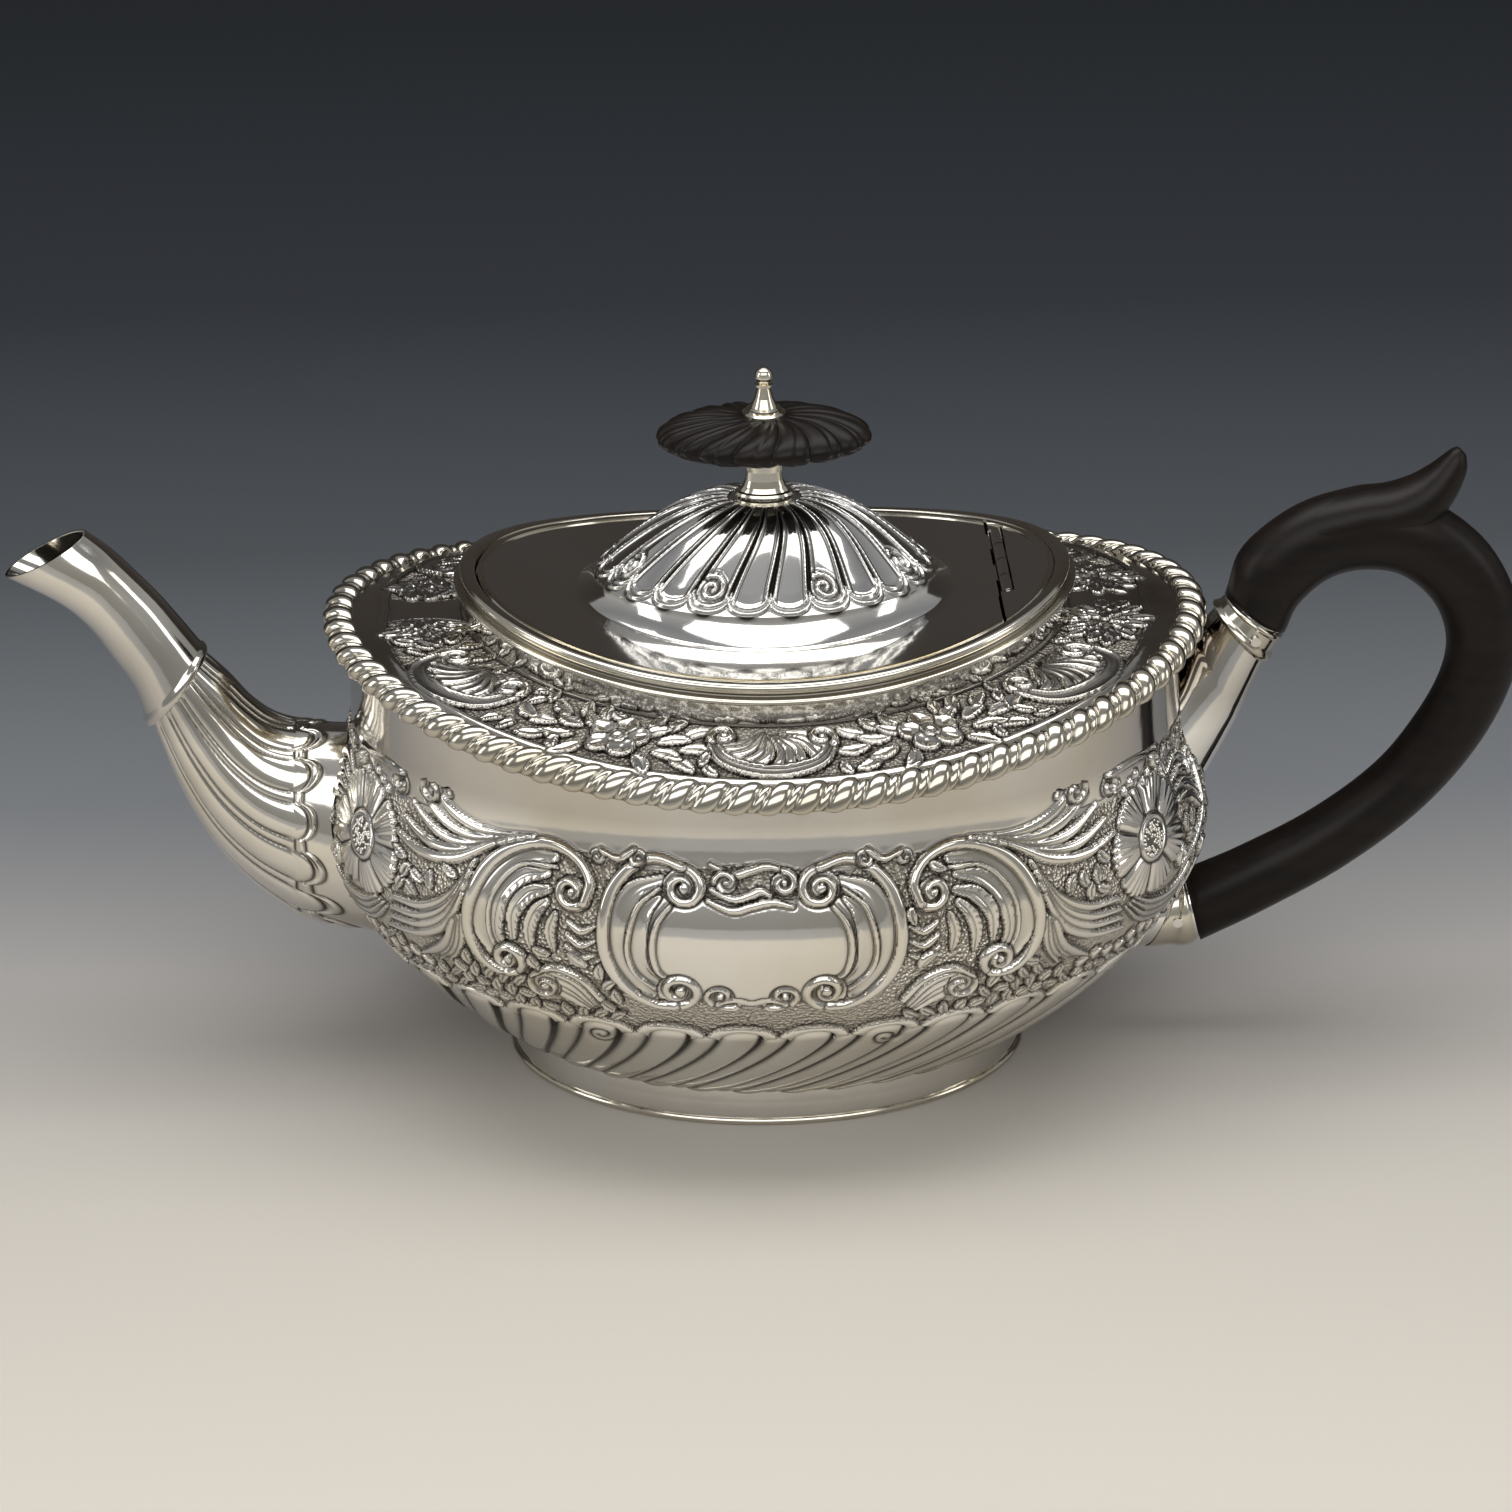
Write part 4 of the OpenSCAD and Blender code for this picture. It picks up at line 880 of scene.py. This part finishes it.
# ---- Gadroon rim -----------------------------------------------------------------------------
# The rim is a cast strip of slanted lobes, broad and narrow in turn, soldered round the edge where
# the shoulder meets the neck.
rim_a, rim_down, rim_half, rim_tall, rim_start = 76.6, 1.0, 3.0, 2.4, -2.2
rim_pairs, rim_slant, rim_broad = 77, -1.35, 0.70


def gadroon_rim():
    columns, rows = rim_pairs * (24 // (2 if coarse > 1 else 1)), 36
    arc, theta, _ = round_columns(columns)
    inward = (np.arange(rows) / rows)[:, None]
    round_at = inward * full_turn + rim_start
    p = (arc / round_arc * rim_pairs + rim_slant * inward) % 1.0
    _, arch = lobes(p, rim_broad)
    show = np.clip(np.minimum(inward - 0.22, 0.76 - inward) / 0.07, 0, 1)
    bulge = (np.where(p < rim_broad, 1.35, 0.75) * arch - 0.95) * show - 0.45 * (1 - show)
    points = oval(theta, rim_a + (rim_half + bulge) * np.cos(round_at), 0.0)
    points[..., 2] = arch_z(points[..., 1]) - rim_down + (rim_tall + bulge * 0.9) * np.sin(round_at)
    finish_piece("gadroon_rim", points, ring_faces(rows, columns), warm_silver, "pot", "gadroon_border",
                 "worn_silver", hollow=np.clip(1.25 - arch * 2.2, 0, 1) * show)


gadroon_rim()


# ---- Lid frame -------------------------------------------------------------------------------
# Two soft beads with a hollow between them are drawn as one strip and soldered round the mouth.
# They follow the same saddle as the lid.
plate_z, saddle_r = 88.9, 230.0


def saddle_z(x):
    return plate_z + saddle_r - np.sqrt(saddle_r ** 2 - x ** 2)


def lid_frame_strip():
    columns = 720 // coarse
    _, theta, _ = round_columns(columns)
    loop = smooth_path([(52.25, -3.1), (52.2, -1.5), (52.25, 0.1), (52.7, 0.33), (53.6, 0.38), (54.6, 0.15),
                        (55.0, -0.5), (54.8, -1.1), (54.3, -1.5), (54.25, -1.85), (54.9, -2.1), (55.8, -2.2),
                        (56.15, -2.65), (55.9, -3.15), (54.0, -3.2), (52.6, -3.2)], 2)[::-1]
    lift = loop[:, 1:]
    points = oval(theta, loop[:, :1], lift)
    points[..., 2] += saddle_z(points[..., 0])
    hollow = np.repeat(mark(lift + 1.7, 0.3) * 0.8, columns, 1)
    finish_piece("lid_frame_strip", points, ring_faces(len(loop), columns), warm_silver, "pot", "lid_frame",
                 "worn_silver", hollow=hollow)


lid_frame_strip()


# ---- Lid -------------------------------------------------------------------------------------
# The lid is one sheet: a saddle plate that rises into a low dome. Swirled flutes run down the dome
# from the knob to a scalloped double line, with a curl on every third flute.
lid_a, lid_cut_x = 51.7, 41.25
dome_a, dome_flat, scallop_z, dome_rise, skirt_w = 30.7, 5.6, 94.2, 13.4, 3.6
lid_flutes, curl_a, dome_girth, stem_a, lid_wall = 24, 26.0, 0.89, 1.25, 0.9


def flute_dome(sheet, angle, a):
    """Chased lines on the dome: the flutes and the scalloped double edge."""
    u = np.clip((a - 7.0) / 23.0, 0, 1)
    p = ((angle - 0.24 * (1 - u * u * (3 - 2 * u))) / full_turn * lid_flutes) % 1.0
    across = np.abs(p * 2 - 1)
    pitch = full_turn * a * dome_girth / lid_flutes
    wide = 0.86
    end = curl_a + 0.2 + 2.6 * dome(across)
    inside = (a < end) & (a > dome_flat + 1.0)
    from_edge = (wide - across) * pitch / 2
    lobe = 0.28 * dome(across / wide) ** 0.6 * np.clip((end - a) / 2.0, 0, 1) ** 0.5
    near = np.clip((a - 7) / 9, 0.35, 1)
    dark = mark(from_edge - 0.66 * near, 0.25 * near)
    gap = np.clip(-from_edge / 0.16 + 0.4, 0, 1)
    sheet.lay(inside, lobe + mark(from_edge - 0.10, 0.26 * near) * 0.42, np.maximum(dark, gap))
    sheet.h -= gap * inside * 0.35
    for line, high in ((end + 0.10, 0.42), (end + 1.30, 0.50)):
        sheet.h += mark(a - line, 0.34) * high
        sheet.darken(mark(a - line - 0.66, 0.24))
    sheet.hollow *= np.clip((a - dome_flat - 0.6) / 1.2, 0, 1) * (a < dome_a + 0.5)


def curl_dome(sheet, angle, a):
    """A curl at the foot of every third flute."""
    for k in range(1, lid_flutes, 3):
        off = (angle - full_turn * (k + 0.5) / lid_flutes + np.pi) % full_turn - np.pi
        sheet.s, sheet.t = -off * (curl_a + 0.5) * dome_girth, curl_a - a
        crescent(sheet, dot(0, 0), 2.3, 0.15, 0.1)
        ridge(sheet, coil((0, 0), 2.3, 0.85, 0.9, 1.5 * full_turn, np.linspace(0, 1, 34)), [0.36, 0.36, 0.3],
              0.45, 0.05, 1.0)


def lid_sheet_metal():
    columns = 864 // coarse // lid_flutes * lid_flutes
    theta = np.arange(columns) / columns * full_turn
    reach = np.full(columns, lid_a)
    right_side = np.sin(theta) > 0.5
    reach[right_side] = np.minimum(lid_a, lid_cut_x / np.sin(theta[right_side]))
    plate_rows, skirt_rows, dome_rows = 6, 10, 90 // coarse
    top = plate_rows + skirt_rows
    u = np.linspace(0, 1, plate_rows, endpoint=False)[:, None]
    skirt_t = np.linspace(np.pi / 2, 0, skirt_rows, endpoint=False)[:, None]
    run = 1 - np.cos(skirt_t)
    a_dome = dome_a - (dome_a - stem_a) * np.linspace(0, 1, dome_rows)[:, None] ** 1.22
    a = np.concatenate([reach * (1 - u) + (dome_a + skirt_w) * u,
                        np.repeat(dome_a + skirt_w * run, columns, 1), np.repeat(a_dome, columns, 1)])
    base = oval(theta, a, 0.0)
    level = saddle_z(base[..., 0])
    base[..., 2] = level
    flat = 0.35 * np.sin(skirt_t) + 0.65 * run
    skirt = level[plate_rows:top]
    base[plate_rows:top, :, 2] = np.maximum(scallop_z * (1 - flat) + skirt * flat, skirt)
    up = np.clip((a_dome - dome_flat) / (dome_a - dome_flat), 0, 1)
    base[top:, :, 2] = scallop_z + dome_rise * (1 - up ** 2.1) ** 1.3
    sheet = Sheet(np.zeros_like(a), np.zeros_like(a))
    angle = np.repeat(theta[None, :], len(a), 0)
    flute_dome(sheet, angle, a)
    curl_dome(sheet, angle, a)
    plain = plate_rows + skirt_rows // 3
    sheet.h[:plain] = 0
    sheet.hollow[:plain] = 0
    outer = base + grid_normals(base) * sheet.h[..., None]
    pick = [0, plate_rows - 1, plate_rows + 3, top, top + dome_rows // 3, top + dome_rows * 2 // 3,
            len(a) - 1]
    inner = base[pick] - np.array([0, 0, lid_wall])
    inner[2:4, :, :2] *= 0.975
    shell("lid_sheet", outer, inner, True, bright_silver, "lid", "lid", grid_normals(outer), sheet.hollow,
          np.zeros_like(a))


lid_sheet_metal()


# ---- Knob button -----------------------------------------------------------------------------
# The button is turned from ebony, oval in plan, and carved with swirled flutes all round. It sits
# between the silver stem and the finial, with a stud through the middle.
ebony, add = new_material("ebony")
grain_at = add("ShaderNodeMapping", {"Vector": add("ShaderNodeTexCoord").outputs["Object"],
                                     "Scale": (60.0, 420.0, 420.0)})
grain = add("ShaderNodeTexNoise", {"Vector": grain_at.outputs["Vector"], "Scale": 1.0, "Detail": 4.0})
wood_tone = ramp(add, grain.outputs["Fac"], [(0.35, (0.0060, 0.0046, 0.0040)),
                                             (0.75, (0.013, 0.0082, 0.0060))])
wood = add("ShaderNodeBsdfPrincipled", {"Base Color": wood_tone, "Roughness": 0.36,
                                        "Specular IOR Level": 0.20})
add("ShaderNodeOutputMaterial", {0: wood.outputs[0]})
knob_plan, button_a, button_low, button_h, button_waist, button_lobes = 0.66, 18.9, 116.2, 7.2, 0.42, 16


def carved_button():
    columns, rows = 576 // coarse, 64 // coarse
    theta = np.arange(columns) / columns * full_turn
    t = np.linspace(-np.pi / 2 + 0.02, np.pi / 2 - 0.02, rows)[:, None]
    a = np.maximum(button_a * np.cos(t) ** 0.72, stem_a)
    z = button_low + button_h * (button_waist + np.where(t < 0, button_waist, 1 - button_waist) * np.sin(t))
    p = (theta / full_turn * button_lobes + 0.85 * np.clip((a - 5) / 14, 0, 1)) % 1.0
    across = p * 2 - 1
    deep = np.clip((a - 4.2) / 6, 0, 1) * np.where(t < -0.9, 0.4, 1.0)
    h = ((dome(across) ** 0.8 - 1) * 1.7 + 0.5 - 0.35 * mark(across - 0.1, 0.18)) * deep
    size = 1 + h / np.maximum(a, 6)
    points = np.stack([np.sin(theta) * a * size, -np.cos(theta) * a * knob_plan * size,
                       z + h * np.sin(t) * 0.7], -1)
    finish_piece("carved_button", points, ring_faces(rows, columns), ebony, "lid", "knob_button",
                 "ebony_knob")


carved_button()


# ---- Spout -----------------------------------------------------------------------------------
# The spout is two tubes of sheet. The lower one is fluted and soldered over the strainer; the
# plain upper one slides over its end and opens in a lip.
def rib_list(sign, rows):
    """Ribs of a tube: x and z of both edges from the end of the belly line, and the half depth."""
    return [[sign * (belly_a + out1), belly_z + up1, sign * (belly_a + out2), belly_z + up2, half]
            for out1, up1, out2, up2, half in rows]


def rings(ribs, steps, sides, inset=0.0):
    """Rings of points along a tube drawn through ribs."""
    r = smooth_path(ribs, steps)
    turned = np.arange(sides) / sides * full_turn
    middle, half = (r[:, 0:2] + r[:, 2:4]) / 2, (r[:, 2:4] - r[:, 0:2]) / 2
    half *= 1 - inset / np.linalg.norm(half, axis=1, keepdims=True)
    c, s = np.cos(turned), np.sin(turned)
    return np.stack([middle[:, 0:1] + half[:, 0:1] * c, (r[:, 4:5] - inset) * s,
                     middle[:, 1:2] + half[:, 1:2] * c], -1)


def on_skin(points, sign):
    """Slides points along x on to the bowl."""
    a = body_a(points[..., 2])
    x = a * np.sqrt(np.clip(1 - (points[..., 1] / (plan * a)) ** 2, 0, 1))
    return np.stack([sign * (x + 0.08), points[..., 1], points[..., 2]], -1)


def rooted(points, steps, sign):
    """Slides the first ring on to the bowl, and eases the next ones after it."""
    slide = on_skin(points[0], sign) - points[0]
    ease = np.clip(1 - np.arange(len(points)) / steps, 0, 1)[:, None, None]
    return points + slide * ease


def tube(name, outer, inner, material, node, slot="silver", hollow=None):
    """An open tube of sheet. Its rings are turned the right way out if they need it."""
    blank = np.zeros(outer.shape[:2])
    hollow = blank if hollow is None else hollow
    if ((outer - outer.mean(1, keepdims=True)) * grid_normals(outer)).sum() < 0:
        outer, inner, hollow = outer[:, ::-1], inner[:, ::-1], hollow[:, ::-1]
    shell(name, outer, inner, True, material, "pot", node, grid_normals(outer), hollow, blank, slot)


spout_ribs = rib_list(-1, [
    (-1, -27.4, -1, 14, 15.2), (4.8, -22.5, 4.3, 14.7, 14), (13.3, -15.6, 9, 16.7, 12.2),
    (20.3, -7.3, 12.8, 20.4, 10.4), (25.8, 3.3, 16.3, 24.8, 9), (30.4, 16.4, 20.3, 29, 8)])
tube_ribs = rib_list(-1, [
    (31.4, 16, 19.9, 29.5, 8.6), (33.8, 24.2, 23.7, 34.8, 7.7), (37.1, 29.6, 27.7, 40.2, 7.1),
    (41.4, 36, 32.2, 45.4, 6.7), (46.6, 40.5, 36.2, 49.6, 6.6), (55.2, 45.3, 40.3, 53, 6.2)])
spout_wall, spout_pairs, spout_broad = 1.3, 13, 0.76


def spout_lower():
    sides, steps = 420 // coarse, 33 // coarse
    outer = rooted(rings(spout_ribs, steps, sides), steps, -1)
    v = np.linspace(0, 1, len(outer))[:, None]
    side = np.abs((np.arange(sides) / sides * full_turn + np.pi) % full_turn - np.pi)
    p = (side / full_turn * spout_pairs + (1 - v) ** 1.4) % 1.0
    in_broad = p < spout_broad
    across, arch = lobes(p, spout_broad)
    low = np.where(in_broad, 0.215 - 0.085 * arch, 0.205)
    reach = np.clip((v - low) / 0.06, 0, 1)
    deep = np.where(in_broad, 0.95, 0.5) * dome(1 - reach) * (1 - 0.45 * v)
    h = np.where(v > low, deep * arch ** 0.8 - 0.4 * reach, 0)
    seam = mark(1 - np.abs(across), np.where(in_broad, 0.12, 0.28)) * reach
    hollow = np.clip(np.maximum(seam * (1 - 0.3 * v), mark(v - low, 0.008)), 0, 1)
    over = low - 0.030
    h = h + 0.45 * mark(v - over, 0.012)
    hollow = np.maximum(hollow, mark(v - over + 0.022, 0.008)) * (v < 0.985) * (v > 0.03)
    normals = grid_normals(outer)
    flip = np.sign(((outer - outer.mean(1, keepdims=True)) * normals).sum())
    inner = rooted(rings(spout_ribs, steps, sides, spout_wall), steps, -1)
    pick = np.linspace(0, len(outer) - 1, 14).astype(int)
    tube("spout_lower", outer + normals * flip * h[..., None], inner[pick], chased_silver, "spout_base",
         hollow=hollow)


def spout_upper():
    outer, inner = (rings(tube_ribs, 16, 96 // coarse, inset) for inset in (0.0, sheet_t))
    swell = np.interp(np.arange(len(outer)), [0, 1, 3, 4], [0.1, 0.35, 0.35, 0])[:, None, None]
    outward = outer - outer.mean(1, keepdims=True)
    outer = outer + outward / np.linalg.norm(outward, axis=-1, keepdims=True) * swell
    tube("spout_upper", outer, inner, chased_silver, "spout_tube")


spout_lower()
spout_upper()


# ---- Handle sockets --------------------------------------------------------------------------
# Two silver sockets are soldered to the bowl and hold the handle's tenons. Each has a moulded band
# at its mouth, and a pin goes through the socket and the tenon.
upper_ribs = rib_list(1, [(0, 2.6, 0, 23, 9.4), (5.1, 13.2, -2.8, 28.8, 7.8), (9.8, 24.6, 0.6, 34, 6.9),
                          (12.8, 30.4, 3.4, 36.8, 6.7)])
lower_ribs = rib_list(1, [(0, -34, 0, -19.5, 6.8), (-0.4, -31.7, -3.6, -18.8, 6.4)])
band_in, band_out, tenon_in = -0.08, -0.98, 0.98


def lower_wall(inset, steps, sides):
    """The wall of the lower socket, at shares of the way from the bowl to its mouth."""
    ends = rings(lower_ribs, 1, sides, inset)
    root, mouth = on_skin(ends, 1)[0], ends[1]
    return root + (mouth - root) * np.asarray(steps)[:, None, None]


def sockets():
    sides = 96 // coarse
    outer, inner = (rooted(rings(upper_ribs, 12, sides, inset), 12, 1) for inset in (0.0, sheet_t))
    tube("upper_socket_sheet", outer, inner, bright_silver, "upper_socket")
    mouth = smooth_path(upper_ribs[1:], 40)[40:]
    grow = np.interp(np.arange(len(mouth)), [0, 3, 6, 10, 14, 30, 34, 37, 40],
                     [0.1, 0.75, 1.0, 0.75, 0.35, 0.35, 0.75, 0.6, 0.1])[:, None, None]
    inner, outer = (rings(mouth, 1, sides, inset) for inset in (band_in, band_out))
    tube("upper_socket_band_moulded", inner + (outer - inner) * grow, inner, warm_silver,
         "upper_socket_band", "worn_silver")
    outer, inner = (lower_wall(inset, np.linspace(0, 1, 14), sides) for inset in (0.0, sheet_t))
    tube("lower_socket_sheet", outer, inner, bright_silver, "lower_socket")
    grow = np.interp(np.linspace(0, 1, 22), [0, 0.1, 0.5, 0.62, 0.78, 0.9, 1],
                     [0.1, 0.4, 0.4, 0.85, 1, 0.7, 0.2])[:, None, None]
    inner, outer = (lower_wall(inset, np.linspace(0.5, 0.97, 22), sides) for inset in (band_in, band_out))
    tube("lower_socket_band_moulded", inner + (outer - inner) * grow, inner, warm_silver,
         "lower_socket_band", "worn_silver")


sockets()


# ---- Handle ----------------------------------------------------------------------------------
# The handle is one piece of ebony with a thumb leaf on its shoulder and a tenon at each end. It is
# rasped smooth and polished, so the leaf runs into the grip without an edge.
grip_half = 6.6
grip_ribs = rib_list(1, [
    (13.5, 30.2, 2.5, 37.5, grip_half * 0.97), (15.8, 35.5, 5.4, 46.2, grip_half * 0.98),
    (21, 40.3, 15.3, 54.2, grip_half), (27.2, 41.9, 26.8, 57, grip_half),
    (34, 40.7, 39.1, 54.4, grip_half * 0.98), (40, 35.6, 49.8, 46.2, grip_half * 0.97),
    (43, 28.5, 56, 34, grip_half * 0.95), (42.4, 21, 56.1, 21.6, grip_half * 0.94),
    (38.2, 12, 50.7, 8, grip_half * 0.92), (31.1, 2.3, 40.7, -5.3, grip_half * 0.91),
    (19.8, -6.8, 26.8, -17, grip_half * 0.91), (6.8, -14, 11.8, -26, grip_half * 0.92),
    (-3.3, -18.5, -0.1, -32.1, grip_half * 0.94)])
thumb_ribs = rib_list(1, [
    (15.4, 36.6, 6.4, 45.6, 5.9), (20.2, 43.0, 15.7, 54.0, 6.25), (25.4, 46.4, 24.8, 57.1, 6.4),
    (31.0, 47.2, 31.0, 57.9, 6.2), (37.2, 48.4, 35.4, 59.4, 5.8), (41.0, 51.8, 38.6, 61.4, 4.8),
    (43.6, 56.0, 40.7, 63.2, 3.5), (45.1, 60.4, 42.1, 64.4, 2.3), (44.9, 63.3, 43.2, 64.9, 1.2)])


def solid_faces(points, first):
    """Faces of a closed bar drawn through rings, the right way out."""
    rows, sides, _ = points.shape
    flip = ((points - points.mean(1, keepdims=True)) * grid_normals(points)).sum() < 0
    start = list(range(first, first + sides))
    end = [i + (rows - 1) * sides for i in start]
    caps = [start, end[::-1]] if flip else [start[::-1], end]
    return grid_faces(rows, sides, first, True, flip) + caps


def handle_bar():
    sides = 64 // (2 if coarse > 1 else 1)
    tenon = rings(upper_ribs, 5, sides, tenon_in)[8:]
    low = np.roll(lower_wall(tenon_in, [1.0, 0.35], sides)[:, ::-1], sides // 2 + 1, axis=1)
    bar = np.concatenate([tenon, rings(grip_ribs, 8, sides), low])
    leaf = rings(thumb_ribs, 8, sides)
    verts = np.concatenate([bar.reshape(-1, 3), leaf.reshape(-1, 3)])
    faces = solid_faces(bar, 0) + solid_faces(leaf, len(bar) * sides)
    finish_piece("handle_grip", verts, faces, ebony, "pot", "handle", "ebony_grip")


handle_bar()


# ---- Plain fittings --------------------------------------------------------------------------
# The foot, the wires, the hinge and the parts inside the lid are plain turned or drawn silver.
# They keep their built shapes and only take the metal's finish here.
slot_of = {part["node"]: part["material_slot"] for part in frame["record"]["subparts"]}
finishes = {"silver": bright_silver, "worn_silver": warm_silver, "ebony_grip": ebony, "ebony_knob": ebony}
for name, cad_node in frame["nodes"].items():
    for material_slot in cad_node.material_slots:
        material_slot.material = finishes[slot_of[name]]
